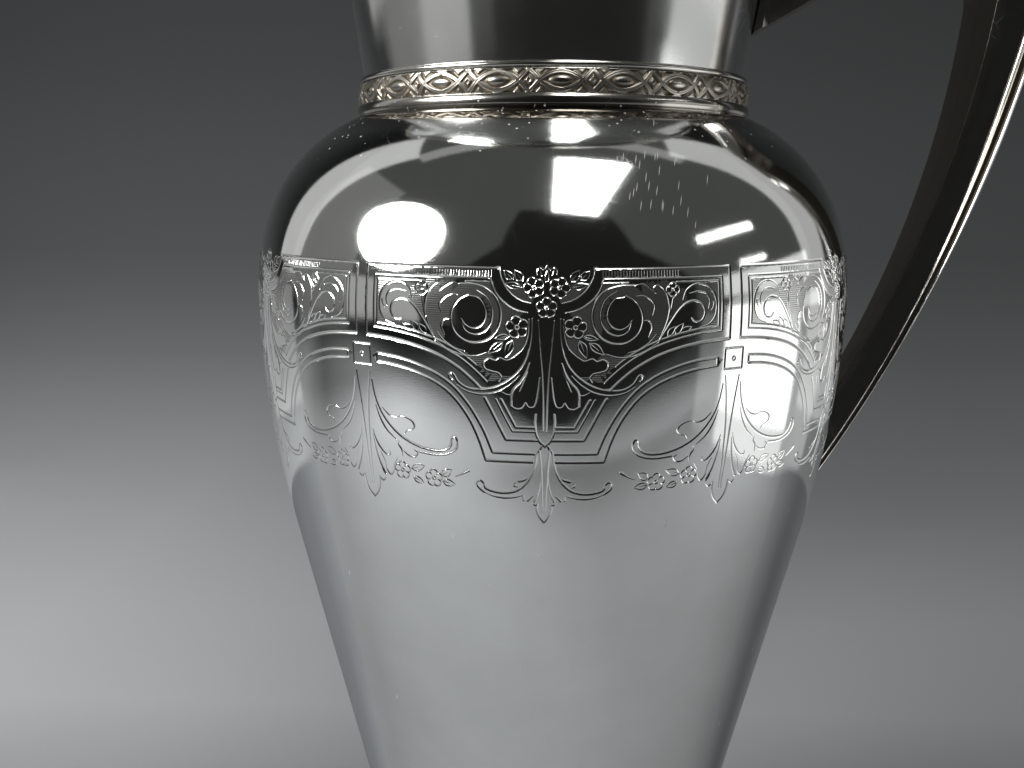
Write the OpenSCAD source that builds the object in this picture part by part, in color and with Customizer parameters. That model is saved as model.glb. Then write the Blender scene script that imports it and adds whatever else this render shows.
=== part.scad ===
// Polished silver ewer: an inverted pear body with a straight conical lower part, a flared
// neck with a drawn lip, a banded collar at the joint of the two, a spreading foot, and a
// hollow strap handle soldered up from two stamped halves.
// Millimetres, +Z up. The origin is the centre of the foot, on the surface it stands on.
// The handle is at +X and the lip at -X.

/* [Body] */
// Largest outer radius of the body, at the belly
belly_r = 70; // [67:0.5:73]
// Height of the belly above the underside of the body
belly_h = 187; // [180:1:195]
// Radius of the long arc that turns the belly into the cone
belly_arc_r = 227; // [200:1:250]
// Radius of the shoulder's lower arc
shoulder_low_r = 52.7; // [49:0.1:56]
// Radius of the shoulder's upper arc
shoulder_top_r = 37.5; // [35:0.1:40]
// Angle round the shoulder where the lower arc ends, in degrees
shoulder_turn_angle = 21; // [15:0.5:27]
// Radius that rounds the cone into the underside of the body
base_round_r = 36; // [33:0.5:38]
// Radius of the flat underside inside that rounding
base_flat_r = 4.36; // [3.5:0.02:5.5]
// Thickness of the sheet that the body is raised from
body_wall = 1.0; // [0.8:0.05:1.4]

/* [Neck] */
// Distance that the foot of the neck stands back from the belly
neck_set = 27; // [26:0.1:28.5]
// Lean of the lower neck from upright, in degrees
neck_angle = 8.5; // [7:0.1:10]
// Height of the straight lower neck
neck_straight_h = 29.5; // [26:0.5:33]
// Radius of the arc that flares the neck to its mouth
flare_r = 60; // [55:0.5:66]
// Thickness of the neck's sheet
neck_wall = 1.0; // [0.8:0.05:1.4]

/* [Mouth] */
// Distance that the mouth stands out beyond the foot of the neck
mouth_out = 14.5; // [12:0.5:17]
// Reach of the lip beyond the round part of the mouth
lip_out = 14.5; // [12:0.5:18]
// Radius of the lip's tip, seen from above
lip_tip_r = 13; // [10:0.5:15]
// Width of the rim wire, seen from above
rim_w = 2.6; // [2:0.1:3.5]
// Thickness of the rim wire under the mouth's edge
rim_t = 1.3; // [1:0.1:1.8]

/* [Collar] */
// Distance that the collar's crown stands out beyond the foot of the neck
collar_out = 3; // [2.6:0.1:3.6]
// Height of the plain lower wire
lower_wire_h = 2.4; // [2:0.1:2.8]
// Height of the ornamented strip
strip_h = 4.8; // [4.2:0.1:5.4]
// Height of the crown of the strip's rounded face
strip_crown = 0.7; // [0.4:0.05:1]
// Height of the plain upper wire
upper_wire_h = 1.4; // [1.2:0.1:1.8]
// Distance that the upper wire's nose stands back from the crown
upper_wire_set = 0.7; // [0.4:0.05:1]

/* [Handle] */
// Distance of the top bend's centre outside the belly
bend_out = 16; // [12:0.5:19]
// Height of the top bend's centre above the foot of the neck
bend_rise = 26.3; // [24:0.1:28]
// Radius of the top bend on its inner side
bend_in_r = 12; // [10:0.25:13]
// Depth of the strap at the top bend, from inner to outer face
strap_depth = 12.7; // [11:0.1:14]
// Slope of the upper arm, in degrees
arm_angle = 29; // [26:0.5:32]
// Width of the arm where it meets the neck
arm_root_w = 12; // [10:0.25:14]
// Radius of the long arc on the strap's inner side
inner_arc_r = 234.6; // [220:1:250]
// Lean of the strap where the inner long arc begins, in degrees
inner_lean_angle = 5.3; // [4:0.1:7]
// Radius of the long arc on the strap's outer side
outer_arc_r = 332.8; // [310:1:350]
// Lean of the strap where the outer long arc begins, in degrees
outer_lean_angle = 11.5; // [10.5:0.1:12.5]
// Width of the strap at its lower end
strap_low_w = 7.5; // [6.5:0.1:9]
// Width of the strap at the top bend
strap_top_w = 19; // [16:0.5:21]
// Thickness of the handle's sheet
handle_wall = 0.9; // [0.7:0.05:1.2]
// Width of the reed along the back edge
reed_w = 1.7; // [1.4:0.1:2.2]
// Height of that reed above the side of the strap
reed_h = 0.7; // [0.5:0.05:1]
// Width of the groove beside it
reed_groove_w = 1.3; // [1:0.1:1.6]
// Width of the fine reed inside the groove
fine_reed_w = 1.4; // [1:0.1:1.8]
// Height of the fine reed
fine_reed_h = 0.5; // [0.3:0.05:0.8]

/* [Foot] */
// Radius of the foot's rim
foot_r = 47; // [44:0.5:50]
// Height of the foot's rim wire
foot_rim_h = 8; // [6:0.5:10]
// Width of the flat ring that the ewer stands on
foot_ring_w = 4.5; // [4:0.1:6]
// Radius of the foot's hollow sweep
foot_sweep_r = 30; // [27:0.5:32]
// Height of the turned ring between foot and body
stem_ring_h = 5; // [4:0.25:6]
// Outer radius of the stem under the ring
stem_r = 14.5; // [13:0.25:16]
// Width of the turned ring, beyond the stem
stem_ring_w = 3; // [2.5:0.1:3.4]
// Thickness of the foot's sheet
foot_wall = 1.0; // [0.8:0.05:1.4]

/* [Hidden] */
$fn = 128;
// Gap left for solder between two pieces
solder_gap = 0.04;
// Overrun of cuts past the faces that they open
overrun = 2;
// Steps along each curved stretch of an outline
arc_steps = 14;
silver = "silver";

// Heights, from the table up
foot_sweep_z = foot_rim_h + foot_wall + foot_sweep_r;
stem_top_z = foot_sweep_z + solder_gap;
body_base_z = stem_top_z + stem_ring_h + solder_gap;
belly_z = body_base_z + belly_h;

// Centres of the body's arcs, each as [distance from the axis, height]
belly_c = [belly_r - belly_arc_r, belly_z];
shoulder_low_c = [belly_r - shoulder_low_r, belly_z];
shoulder_top_c = shoulder_low_c + (shoulder_low_r - shoulder_top_r) * toward(shoulder_turn_angle);
base_c = [base_flat_r, body_base_z + base_round_r];
// Lean of the conical lower body, which touches both the belly's arc and the base's rounding
base_to_belly = belly_c - base_c;
base_belly_angle = atan2(base_to_belly.y, base_to_belly.x);
cone_angle = acos((base_round_r - belly_arc_r) / norm(base_to_belly)) - base_belly_angle;

// Unit step in the direction of an angle
function toward(a) = [cos(a), sin(a)];
// Height of the shoulder's outer face at a distance from the axis
function shoulder_z(r) = shoulder_top_c.y + sqrt(pow(shoulder_top_r, 2) - pow(r - shoulder_top_c.x, 2));
// Points of an arc about a centre, from one angle to another
function arc(c, r, from, to) = [for (i = [0:arc_steps]) c + r * toward(from + (to - from) * i / arc_steps)];
function reversed(points) = [for (i = [len(points) - 1:-1:0]) points[i]];

// The neck
neck_r = belly_r - neck_set;
neck_in_r = neck_r - neck_wall;
mouth_r = neck_r + mouth_out;
lip_reach = mouth_r + lip_out;
neck_z = shoulder_z(neck_r);
neck_bend = [neck_r + neck_straight_h * tan(neck_angle), neck_z + neck_straight_h];
flare_c = neck_bend + flare_r * toward(-neck_angle);
flare_end_angle = acos((flare_c.x - lip_reach - overrun) / (flare_r + neck_wall));
mouth_top_z = flare_c.y + flare_r + overrun;

// The collar, built up from its seat on the shoulder
collar_r = neck_r + collar_out;
collar_z = shoulder_z(collar_r);
strip_z = collar_z + lower_wire_h + solder_gap;
upper_wire_z = strip_z + strip_h + solder_gap;
strip_face_r = (pow(strip_h / 2, 2) + pow(strip_crown, 2)) / (2 * strip_crown);

// The handle, in the plane through the axis
bend_x = belly_r + bend_out;
bend_c = [bend_x, neck_z + bend_rise];
bend_out_r = bend_in_r + strap_depth;
inner_c = bend_c - (inner_arc_r - bend_in_r) * toward(-inner_lean_angle);
outer_c = bend_c - (outer_arc_r - bend_out_r) * toward(-outer_lean_angle);
arm_turn_angle = 90 + arm_angle;
arm_way = (bend_x - neck_r + bend_out_r) * toward(arm_angle);
// Angles where the two long arcs end, well inside the wall of the body
inner_end_angle = 32;
outer_end_angle = 34;
strap_low_z = outer_c.y - outer_arc_r * sin(outer_end_angle);
strap_tilt_angle = atan((strap_top_w - strap_low_w) / 2 / (bend_c.y - strap_low_z));

// Angle round the shoulder, on a face set in by t, where it meets the inside of the neck
function shoulder_end(t) = acos((neck_in_r - shoulder_top_c.x) / (shoulder_top_r - t));

// Outline of the body's wall, set in from the outer face by t, from the axis up to the neck
function body_line(t) = concat(
    [[0, body_base_z + t]],
    arc(base_c, base_round_r - t, -90, -cone_angle),
    arc(belly_c, belly_arc_r - t, -cone_angle, 0),
    arc(shoulder_low_c, shoulder_low_r - t, 0, shoulder_turn_angle),
    arc(shoulder_top_c, shoulder_top_r - t, shoulder_turn_angle, shoulder_end(t)));

// Outline of the neck's wall, set out from the outer face by t, from below the shoulder up
function neck_line(t) = concat(
    [[neck_r - overrun * tan(neck_angle) + t / cos(neck_angle), neck_z - overrun]],
    arc(flare_c, flare_r - t, 180 - neck_angle, 180 - flare_end_angle));

// The body as a filled shape, shifted by the solder gap: it cuts the seats of what it touches
module body_filled(shift) {
    line = body_line(0);
    translate([0, shift])
        polygon(concat(line, [[0, line[len(line) - 1].y]]));
}

// The neck as a filled shape, grown by the solder gap: it cuts the seats of what goes round it
module neck_filled() {
    line = neck_line(solder_gap);
    polygon(concat(line, [[0, line[len(line) - 1].y], [0, line[0].y]]));
}

// Plan of the mouth, round with a drawn lip, set in from its edge by t
module mouth_plan(t) {
    tip_x = lip_reach - lip_tip_r;
    touch = acos((mouth_r - lip_tip_r) / tip_x);
    circle(mouth_r - t);
    translate([-tip_x, 0])
        circle(lip_tip_r - t);
    polygon([
        (mouth_r - t) * [-cos(touch), sin(touch)],
        (lip_tip_r - t) * [-cos(touch), sin(touch)] - [tip_x, 0],
        (lip_tip_r - t) * [-cos(touch), -sin(touch)] - [tip_x, 0],
        (mouth_r - t) * [-cos(touch), -sin(touch)]]);
}

// A ring about the axis with its inner side fitted to the neck and its underside to the shoulder
module fitted_ring() {
    rotate_extrude()
        difference() {
            children();
            neck_filled();
            body_filled(solder_gap);
        }
}

// A plain wire of half-round nose that reaches from the neck out to radius r
module wire_section(r, z, h) {
    translate([neck_in_r, z])
        square([r - h / 2 - neck_in_r, h]);
    translate([r - h / 2, z + h / 2])
        circle(h / 2);
}

// Side outline of the handle, set in from its faces by t, with its ends inside body and neck
module strap_plan(t) {
    out_bend = arc(bend_c, bend_out_r - t, -outer_lean_angle, arm_turn_angle);
    in_bend = arc(bend_c, bend_in_r + t, arm_turn_angle, -inner_lean_angle);
    polygon(concat(
        arc(outer_c, outer_arc_r - t, -outer_end_angle, -outer_lean_angle),
        out_bend,
        [out_bend[arc_steps] - arm_way, in_bend[0] - arm_way],
        in_bend,
        arc(inner_c, inner_arc_r + t, -inner_lean_angle, -inner_end_angle)));
}

// Plan of a reed along the back edge of the handle's side, between two depths from the outer face
module reed_plan(near, far) {
    near_bend = arc(bend_c, bend_out_r - near, -outer_lean_angle, arm_turn_angle);
    far_bend = arc(bend_c, bend_out_r - far, arm_turn_angle, -outer_lean_angle);
    polygon(concat(
        arc(outer_c, outer_arc_r - near, -outer_end_angle, -outer_lean_angle),
        near_bend,
        [near_bend[arc_steps] - arm_way, far_bend[0] - arm_way],
        far_bend,
        arc(outer_c, outer_arc_r - far, -outer_lean_angle, -outer_end_angle)));
}

// Stands the handle's side outline upright on the leaning side face of the front half
module on_front_face() {
    translate([0, -strap_low_w / 2, strap_low_z])
        rotate([90 + strap_tilt_angle, 0, 0])
            translate([0, -strap_low_z, 0])
                children();
}

// Half of the handle seen from above, set in by t, which narrows along the arm to the neck
module arm_taper(t) {
    crown_w = strap_top_w / 2 + bend_out_r * tan(strap_tilt_angle) + reed_h;
    slope = (crown_w - arm_root_w / 2) / (bend_x - neck_r);
    start_x = neck_in_r - overrun;
    start_w = arm_root_w / 2 - slope * (neck_r - start_x);
    reach = bend_x + bend_out_r + overrun;
    linear_extrude(mouth_top_z)
        polygon([
            [start_x, strap_top_w],
            [start_x, t - start_w],
            [bend_x, t - crown_w],
            [reach, t - crown_w],
            [reach, strap_top_w]]);
}

// One stamped half of the hollow handle, cut to the body, the neck and the seam
module handle_half() {
    difference() {
        intersection() {
            on_front_face() {
                translate([0, 0, -strap_top_w])
                    linear_extrude(strap_top_w)
                        strap_plan(0);
                linear_extrude(reed_h)
                    reed_plan(0, reed_w);
                linear_extrude(fine_reed_h)
                    reed_plan(reed_w + reed_groove_w, reed_w + reed_groove_w + fine_reed_w);
            }
            arm_taper(0);
        }
        intersection() {
            on_front_face()
                translate([0, 0, -strap_top_w - overrun])
                    linear_extrude(strap_top_w + overrun - handle_wall)
                        strap_plan(handle_wall);
            arm_taper(handle_wall);
        }
        translate([0, -solder_gap, 0])
            cube_behind();
        rotate_extrude() {
            body_filled(solder_gap);
            neck_filled();
        }
    }
}

// All that lies behind the handle's seam
module cube_behind() {
    reach = bend_x + bend_out_r + overrun;
    translate([-reach, 0, 0])
        cube([2 * reach, reach, mouth_top_z]);
}

module body_shell() {
    color(silver)
        rotate_extrude()
            polygon(concat(body_line(0), reversed(body_line(body_wall))));
}

module neck_shell() {
    color(silver)
        intersection() {
            rotate_extrude()
                difference() {
                    polygon(concat(neck_line(0), reversed(neck_line(-neck_wall))));
                    body_filled(solder_gap);
                }
            linear_extrude(mouth_top_z)
                mouth_plan(0);
        }
}

// Flat moulded wire under the edge of the mouth
module rim_wire() {
    color(silver)
        intersection() {
            rotate_extrude()
                polygon(concat(neck_line(rim_t), reversed(neck_line(solder_gap))));
            linear_extrude(mouth_top_z)
                difference() {
                    mouth_plan(0);
                    mouth_plan(rim_w);
                }
        }
}

module collar_lower_wire() {
    color(silver)
        fitted_ring()
            wire_section(collar_r, collar_z, lower_wire_h);
}

// Strip with a rounded face, which carries the rolled ornament
module collar_strip() {
    color(silver)
        fitted_ring()
            intersection() {
                translate([neck_in_r, strip_z])
                    square([collar_r - neck_in_r, strip_h]);
                translate([collar_r - strip_face_r, strip_z + strip_h / 2])
                    circle(strip_face_r);
            }
}

module collar_upper_wire() {
    color(silver)
        fitted_ring()
            wire_section(collar_r - upper_wire_set, upper_wire_z, upper_wire_h);
}

module handle_front_half() {
    color(silver)
        handle_half();
}

module handle_rear_half() {
    color(silver)
        mirror([0, 1, 0])
            handle_half();
}

// Turned ring between the foot and the body, hollowed above to the body's rounded underside
module stem_ring() {
    color(silver)
        rotate_extrude() {
            difference() {
                translate([stem_r - stem_ring_w, stem_top_z])
                    square([stem_ring_w, stem_ring_h + stem_ring_w]);
                body_filled(-solder_gap);
            }
            intersection() {
                translate([stem_r - stem_ring_w, stem_top_z])
                    square([2 * stem_ring_w, stem_ring_h]);
                translate([stem_r, stem_top_z + stem_ring_h / 2])
                    circle(stem_ring_w);
            }
        }
}

// Spreading foot, swept in a hollow curve from the stem to a flat flange
module foot_shell() {
    sweep_c = [stem_r + foot_sweep_r, foot_sweep_z];
    flange_z = foot_sweep_z - foot_sweep_r;
    flange_r = foot_r - foot_rim_h / 4;
    color(silver)
        rotate_extrude()
            polygon(concat(
                arc(sweep_c, foot_sweep_r, 180, 270),
                [[flange_r, flange_z], [flange_r, flange_z - foot_wall]],
                reversed(arc(sweep_c, foot_sweep_r + foot_wall, 180, 270))));
}

// Moulded wire under the foot's flange, with the flat ring that the ewer stands on
module foot_rim() {
    nose_r = foot_rim_h / 4;
    inner_r = foot_r - nose_r - foot_ring_w;
    top_z = foot_rim_h - solder_gap;
    color(silver)
        rotate_extrude() {
            translate([inner_r, 0])
                square([foot_ring_w, top_z]);
            translate([foot_r - nose_r, nose_r])
                circle(nose_r);
            translate([foot_r - nose_r, 0])
                square([nose_r / 2, top_z - nose_r]);
        }
}

body_shell();
neck_shell();
rim_wire();
collar_lower_wire();
collar_strip();
collar_upper_wire();
handle_front_half();
handle_rear_half();
stem_ring();
foot_shell();
foot_rim();
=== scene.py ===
# %% [markdown]
# # A polished silver ewer with an engraved frieze
#
# The real ewer is hollowware. A silversmith raises or spins the body, the neck and the foot from
# sheet, solders drawn and rolled wires over the joints, and solders up the handle from two stamped
# halves. An engraver then cuts the frieze into the finished body with a graver, line by line.
#
# The frame holds the same pieces as plain solids. This lesson makes the surfaces that are seen: each
# piece is built again over its solid, with the cut lines, the relief and the rounded edges that the
# light shows on polished metal. All sizes in this file are millimetres until a mesh is made.

# %% Load the frame
import math
import bpy
import numpy as np
from mathutils import Matrix, Vector
from mathutils.geometry import delaunay_2d_cdt


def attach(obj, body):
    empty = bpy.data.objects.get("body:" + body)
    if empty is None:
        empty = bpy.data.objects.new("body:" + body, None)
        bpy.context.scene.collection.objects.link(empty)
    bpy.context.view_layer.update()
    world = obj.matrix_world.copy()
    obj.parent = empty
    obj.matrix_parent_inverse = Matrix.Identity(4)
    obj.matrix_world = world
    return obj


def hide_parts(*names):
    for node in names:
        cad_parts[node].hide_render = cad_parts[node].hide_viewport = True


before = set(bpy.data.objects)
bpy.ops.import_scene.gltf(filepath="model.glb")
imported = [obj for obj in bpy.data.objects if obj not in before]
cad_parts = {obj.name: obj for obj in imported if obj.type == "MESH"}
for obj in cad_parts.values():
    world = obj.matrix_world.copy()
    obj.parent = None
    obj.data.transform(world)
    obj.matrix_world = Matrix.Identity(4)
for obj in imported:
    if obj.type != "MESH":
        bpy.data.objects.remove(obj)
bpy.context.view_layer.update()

MM = 0.001

# %% [markdown]
# ## The outline of the body
#
# A raised body is checked against a card template of its outline. The template here is the same row
# of arcs as in the solid: a rounded underside, a straight cone, a long belly arc, and two arcs for the
# shoulder. Each arc gives points and also the directions that face out of the metal, because polished
# silver shows every error in those directions.

# %% Outline of the body
BELLY_Z = 231.08
BELLY_ARC = ((-157.0, BELLY_Z), 227.0)
LOW_SHOULDER = ((17.3, BELLY_Z), 52.7)
TOP_SHOULDER = ((31.49, 236.527), 37.5)
BASE_ROUND = ((4.36, 80.08), 36.0)
CONE_ANGLE = 12.9
FRIEZE_TOP_Z = 241.68


def arc(part, start, end, count):
    """Points and outward directions of an arc, from one angle to another in degrees."""
    (cx, cz), r = part
    a = np.radians(np.linspace(start, end, count))
    out = np.stack([np.cos(a), np.sin(a)], 1)
    return np.array([cx, cz]) + r * out, out


def outer_radius(z):
    """Radius of the body near the belly, at a height."""
    (cx, cz), r = LOW_SHOULDER if np.isscalar(z) and z >= BELLY_Z else BELLY_ARC
    if np.isscalar(z):
        return cx + math.sqrt(r * r - (z - cz) ** 2)
    low = BELLY_ARC[0][0] + np.sqrt(BELLY_ARC[1] ** 2 - (z - BELLY_Z) ** 2)
    high = LOW_SHOULDER[0][0] + np.sqrt(LOW_SHOULDER[1] ** 2 - np.clip(z - BELLY_Z, 0, 50) ** 2)
    return np.where(z >= BELLY_Z, high, low)


def outward(z):
    """Outward direction of the body near the belly, as [away from the axis, up]."""
    centre_x = np.where(z >= BELLY_Z, LOW_SHOULDER[0][0], BELLY_ARC[0][0])
    d = np.stack([outer_radius(z) - centre_x, z - BELLY_Z], -1)
    return d / np.linalg.norm(d, axis=-1)[..., None]


print("belly radius:", outer_radius(BELLY_Z), "at the frieze's top:", round(outer_radius(FRIEZE_TOP_Z), 2))

# %% [markdown]
# ## Making meshes
#
# A turned piece is a profile swept round the axis, as on a lathe. The helpers below make the
# points and faces of such a piece and put finished pieces in their place: each rides the one rigid
# body and stands for its solid.

# %% Helpers for turned pieces
SMOOTH_SIDES = 288


def turned(profile, sides, first=0.0, closed=True):
    """Points and faces of a profile [(radius, height)] turned about the axis. A radius of 0 is a pole."""
    profile = np.asarray(profile, float)
    a = np.radians(first + 360.0 * np.arange(sides) / sides)
    points, rings = [], []
    for r, z in profile:
        rings.append(len(points) if r > 1e-6 else -1 - len(points))
        points += [(r * math.sin(b), -r * math.cos(b), z) for b in a] if r > 1e-6 else [(0.0, 0.0, z)]
    faces = []
    pairs = list(zip(rings, rings[1:] + rings[:1]))
    for low, high in pairs if closed else pairs[:-1]:
        for i in range(sides):
            j = (i + 1) % sides
            if low >= 0 and high >= 0:
                faces.append((low + i, low + j, high + j, high + i))
            elif high >= 0:
                faces.append((-1 - low, high + j, high + i))
            elif low >= 0:
                faces.append((low + i, low + j, -1 - high))
    return np.array(points), faces


def make_mesh(name, points, faces, sharp=30.0):
    """A mesh in metres from points in millimetres, smooth except across edges over the sharp angle."""
    mesh = bpy.data.meshes.new(name)
    mesh.from_pydata([tuple(p) for p in np.asarray(points) * MM], [], faces)
    mesh.validate()
    mesh.polygons.foreach_set("use_smooth", np.ones(len(mesh.polygons), bool))
    mesh.set_sharp_from_angle(angle=math.radians(sharp))
    return mesh


def place(name, mesh, slot, *nodes):
    """Puts a finished mesh into the scene as a piece that stands for its solids."""
    piece = bpy.data.objects.new(name, mesh)
    bpy.context.scene.collection.objects.link(piece)
    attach(piece, "root")
    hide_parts(*nodes)
    mesh.calc_loop_triangles()
    print(name, "triangles:", len(mesh.loop_triangles))


# %% [markdown]
# ## Silver
#
# Polished sterling is close to a mirror, a little warm, and never perfect: a wheel leaves fine
# lines round the form, cloths leave hairline scratches, and the hollows that no cloth reaches hold
# brownish tarnish. That much is on every piece, with other numbers for the body, the mounts and the
# handle. Hollows are marked on the meshes by an attribute that holds how deep each point lies, in
# millimetres. On the handle that mark also lies on the inner face, the arris and the side just beyond
# it, which are no hollows: the darkening there is painted shade.

# %% Node helpers
def build_nodes(tree, steps):
    """Adds nodes from (name, type, settings, inputs); an input given as 'node.socket' is a link."""
    made = {}
    for name, kind, settings, inputs in steps:
        node = tree.nodes.new(kind)
        node.name = node.label = name
        for key, value in settings.items():
            setattr(node, key, value)
        for key, value in inputs.items():
            socket = node.inputs[key]
            if isinstance(value, str):
                source, output = value.split(".")
                output = int(output) if output.isdigit() else output
                tree.links.new(made[source].outputs[output], socket)
            else:
                socket.default_value = value
        made[name] = node
    return made


def remap(name, value, low, high, to_low, to_high):
    """A step that turns one range of numbers into another."""
    return (name, "ShaderNodeMapRange", {}, {"Value": value, "From Min": low, "From Max": high,
                                             "To Min": to_low, "To Max": to_high})


def reckon(name, operation, *values):
    """A step that reckons with two or three numbers."""
    return name, "ShaderNodeMath", {"operation": operation}, dict(enumerate(values))


def blend(name, share, first, second, how="MIX"):
    """A step that lays one colour over another."""
    return name, "ShaderNodeMixRGB", {"blend_type": how}, {"Fac": share, "Color1": first, "Color2": second}


def noise(name, vector, scale, detail, roughness=0.5):
    """A step that makes cloudy noise."""
    return (name, "ShaderNodeTexNoise", {}, {"Vector": vector, "Scale": scale, "Detail": detail,
                                             "Roughness": roughness})


# %% Polish on every piece
TARNISH = (0.15, 0.12, 0.08, 1.0)


def polish_steps(colour, roughness, tarnish, hollow_rough, stretch):
    """Wheel lines, smears, hairline scratches and tarnish in the hollows."""
    return [
        ("place", "ShaderNodeTexCoord", {}, {}),
        ("wheel stretch", "ShaderNodeMapping", {}, {"Vector": "place.Object", "Scale": stretch}),
        noise("wheel lines", "wheel stretch.Vector", 900.0, 3.0),
        ("bump", "ShaderNodeBump", {}, {"Height": "wheel lines.0", "Strength": 0.012, "Distance": 0.0004}),
        noise("smears", "place.Object", 38.0, 6.0, 0.62),
        remap("haze", "smears.0", 0.35, 0.7, 1.0, 0.9),
        noise("hair warp", "place.Object", 16.0, 1.0),
        blend("hair place", 0.25, "place.Object", "hair warp.Color"),
        ("hairs", "ShaderNodeTexVoronoi", {"feature": "DISTANCE_TO_EDGE"},
         {"Vector": "hair place.Color", "Scale": 95.0}),
        remap("hair line", "hairs.Distance", 0.0, 0.012, 1.0, 0.0),
        remap("hair mask", "smears.0", 0.52, 0.68, 0.0, 1.0),
        reckon("scratches", "MULTIPLY", "hair line.Result", "hair mask.Result"),
        ("depth", "ShaderNodeAttribute", {"attribute_name": "hollow"}, {}),
        remap("in hollow", "depth.Fac", 0.02, 0.2, 0.0, tarnish),
        blend("colour", "in hollow.Result", (*colour, 1.0), TARNISH),
        remap("rough smears", "smears.0", 0.3, 0.75, roughness, roughness * 2.1),
        reckon("rough scratches", "MULTIPLY_ADD", "scratches.Value", 0.16, "rough smears.Result"),
        reckon("rough hollows", "MULTIPLY_ADD", "in hollow.Result", hollow_rough, "rough scratches.Value"),
    ]


# %% [markdown]
# The body has more to show. Between the engraved scrolls the ground is matted: close lines, ruled side
# by side, that oxide has dulled. On the shoulder a knock has left a patch of short pale scratches. Close
# to where the collar is soldered on the colour turns darker and brown, and as a cloth never gets right
# into the corner, grains of dust stay there, on the body as well as on the mounts. Places and heights
# in these steps are metres.

# %% Matted ground, and darkening and dust at the collar
SEAM_Z = 0.2702
PALE = (0.55, 0.54, 0.51, 1.0)


def ground_steps():
    """Close dulled lines on the faces that are marked as matted."""
    return [
        ("ground", "ShaderNodeAttribute", {"attribute_name": "matted"}, {}),
        blend("ground colour", "ground.Fac", "colour.Color", (0.5, 0.5, 0.49, 1.0), "MULTIPLY"),
        reckon("rough ground", "MULTIPLY_ADD", "ground.Fac", 0.09, "rough hollows.Value"),
        reckon("ground oxide", "MULTIPLY", "ground.Fac", 0.09),
        ("ground lines", "ShaderNodeTexWave", {"bands_direction": "Z"},
         {"Vector": "place.Object", "Scale": 785.0}),
        reckon("ground height", "MULTIPLY", "ground lines.Fac", "ground.Fac"),
        ("lined", "ShaderNodeBump", {}, {"Height": "ground height.Value", "Strength": 0.15,
                                         "Distance": 0.0001, "Normal": "bump.Normal"}),
    ]


def seam_steps(clean, amount):
    """Darker brown colour close to the collar's seam, over the clean colour, and grains of dust farther out.
    """
    return [
        ("axes", "ShaderNodeSeparateXYZ", {}, {"Vector": "place.Object"}),
        reckon("above seam", "SUBTRACT", "axes.Z", SEAM_Z),
        reckon("from seam", "ABSOLUTE", "above seam.Value"),
        remap("at seam", "from seam.Value", 0.0004, 0.0036, 0.85 * amount, 0.0),
        blend("seam colour", "at seam.Result", clean, TARNISH),
        ("grains", "ShaderNodeTexVoronoi", {}, {"Vector": "place.Object", "Scale": 800.0}),
        remap("grain", "grains.Distance", 0.12, 0.2, 1.0, 0.0),
        remap("dusty", "from seam.Value", 0.0, 0.013, 0.5 * amount, 0.0),
        reckon("some grains", "LESS_THAN", "grains.Color", "dusty.Result"),
        reckon("dust", "MULTIPLY", "grain.Result", "some grains.Value"),
    ]


# %% Knock on the shoulder
KNOCK_AT = (0.0195, -0.0605, 0.2562)
KNOCK_R = 0.0125


def knock_steps():
    """Short scratches side by side, close together at the middle of the knock and sparse at its edge."""
    return [
        ("from knock", "ShaderNodeVectorMath", {"operation": "DISTANCE"}, {0: "place.Object", 1: KNOCK_AT}),
        remap("at knock", "from knock.Value", 0.004, KNOCK_R, 0.7, 0.05),
        ("stroke plan", "ShaderNodeCombineXYZ", {}, {"X": "axes.X", "Y": "axes.Z"}),
        ("stroke stretch", "ShaderNodeMapping", {"vector_type": "TEXTURE"},
         {"Vector": "stroke plan.Vector", "Rotation": (0.0, 0.0, -0.15), "Scale": (1.0, 12.0, 1.0)}),
        ("strokes", "ShaderNodeTexVoronoi", {"voronoi_dimensions": "2D"},
         {"Vector": "stroke stretch.Vector", "Scale": 1300.0}),
        remap("stroke", "strokes.Distance", 0.04, 0.12, 0.65, 0.0),
        reckon("some strokes", "LESS_THAN", "strokes.Color", "at knock.Result"),
        reckon("knocks", "MULTIPLY", "stroke.Result", "some strokes.Value"),
        reckon("pale", "MAXIMUM", "dust.Value", "knocks.Value"),
        reckon("dull", "MAXIMUM", "pale.Value", "ground oxide.Value"),
    ]


# %% Silver material
def silver(name, colour, roughness, tarnish, hollow_rough, stretch, seam_dark_and_dust=0.0, engraved=False):
    """Polished silver, with darkening and dust at the collar's seam and an engraver's ground where they are
    asked for.
    """
    steps = polish_steps(colour, roughness, tarnish, hollow_rough, stretch)
    tint, rough, normal, mirror = "colour.Color", "rough hollows.Value", "bump.Normal", 1.0
    pale = dull = "dust.Value"
    if engraved:
        steps += ground_steps()
        tint, rough, normal = "ground colour.Color", "rough ground.Value", "lined.Normal"
    if seam_dark_and_dust:
        steps += seam_steps(tint, seam_dark_and_dust)
        if engraved:
            steps += knock_steps()
            pale, dull = "pale.Value", "dull.Value"
        steps += [blend("pale colour", pale, "seam colour.Color", PALE),
                  reckon("mirror", "SUBTRACT", 1.0, dull)]
        tint, mirror = "pale colour.Color", "mirror.Value"
    steps += [
        blend("hazy colour", 1.0, tint, "haze.Result", "MULTIPLY"),
        ("metal", "ShaderNodeBsdfPrincipled", {}, {"Base Color": "hazy colour.Color", "Metallic": mirror,
                                                   "Roughness": rough, "Normal": normal}),
        ("out", "ShaderNodeOutputMaterial", {}, {"Surface": "metal.BSDF"}),
    ]
    material = bpy.data.materials.new(name)
    material.use_nodes = True
    material.node_tree.nodes.clear()
    build_nodes(material.node_tree, steps)
    return material


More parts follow.
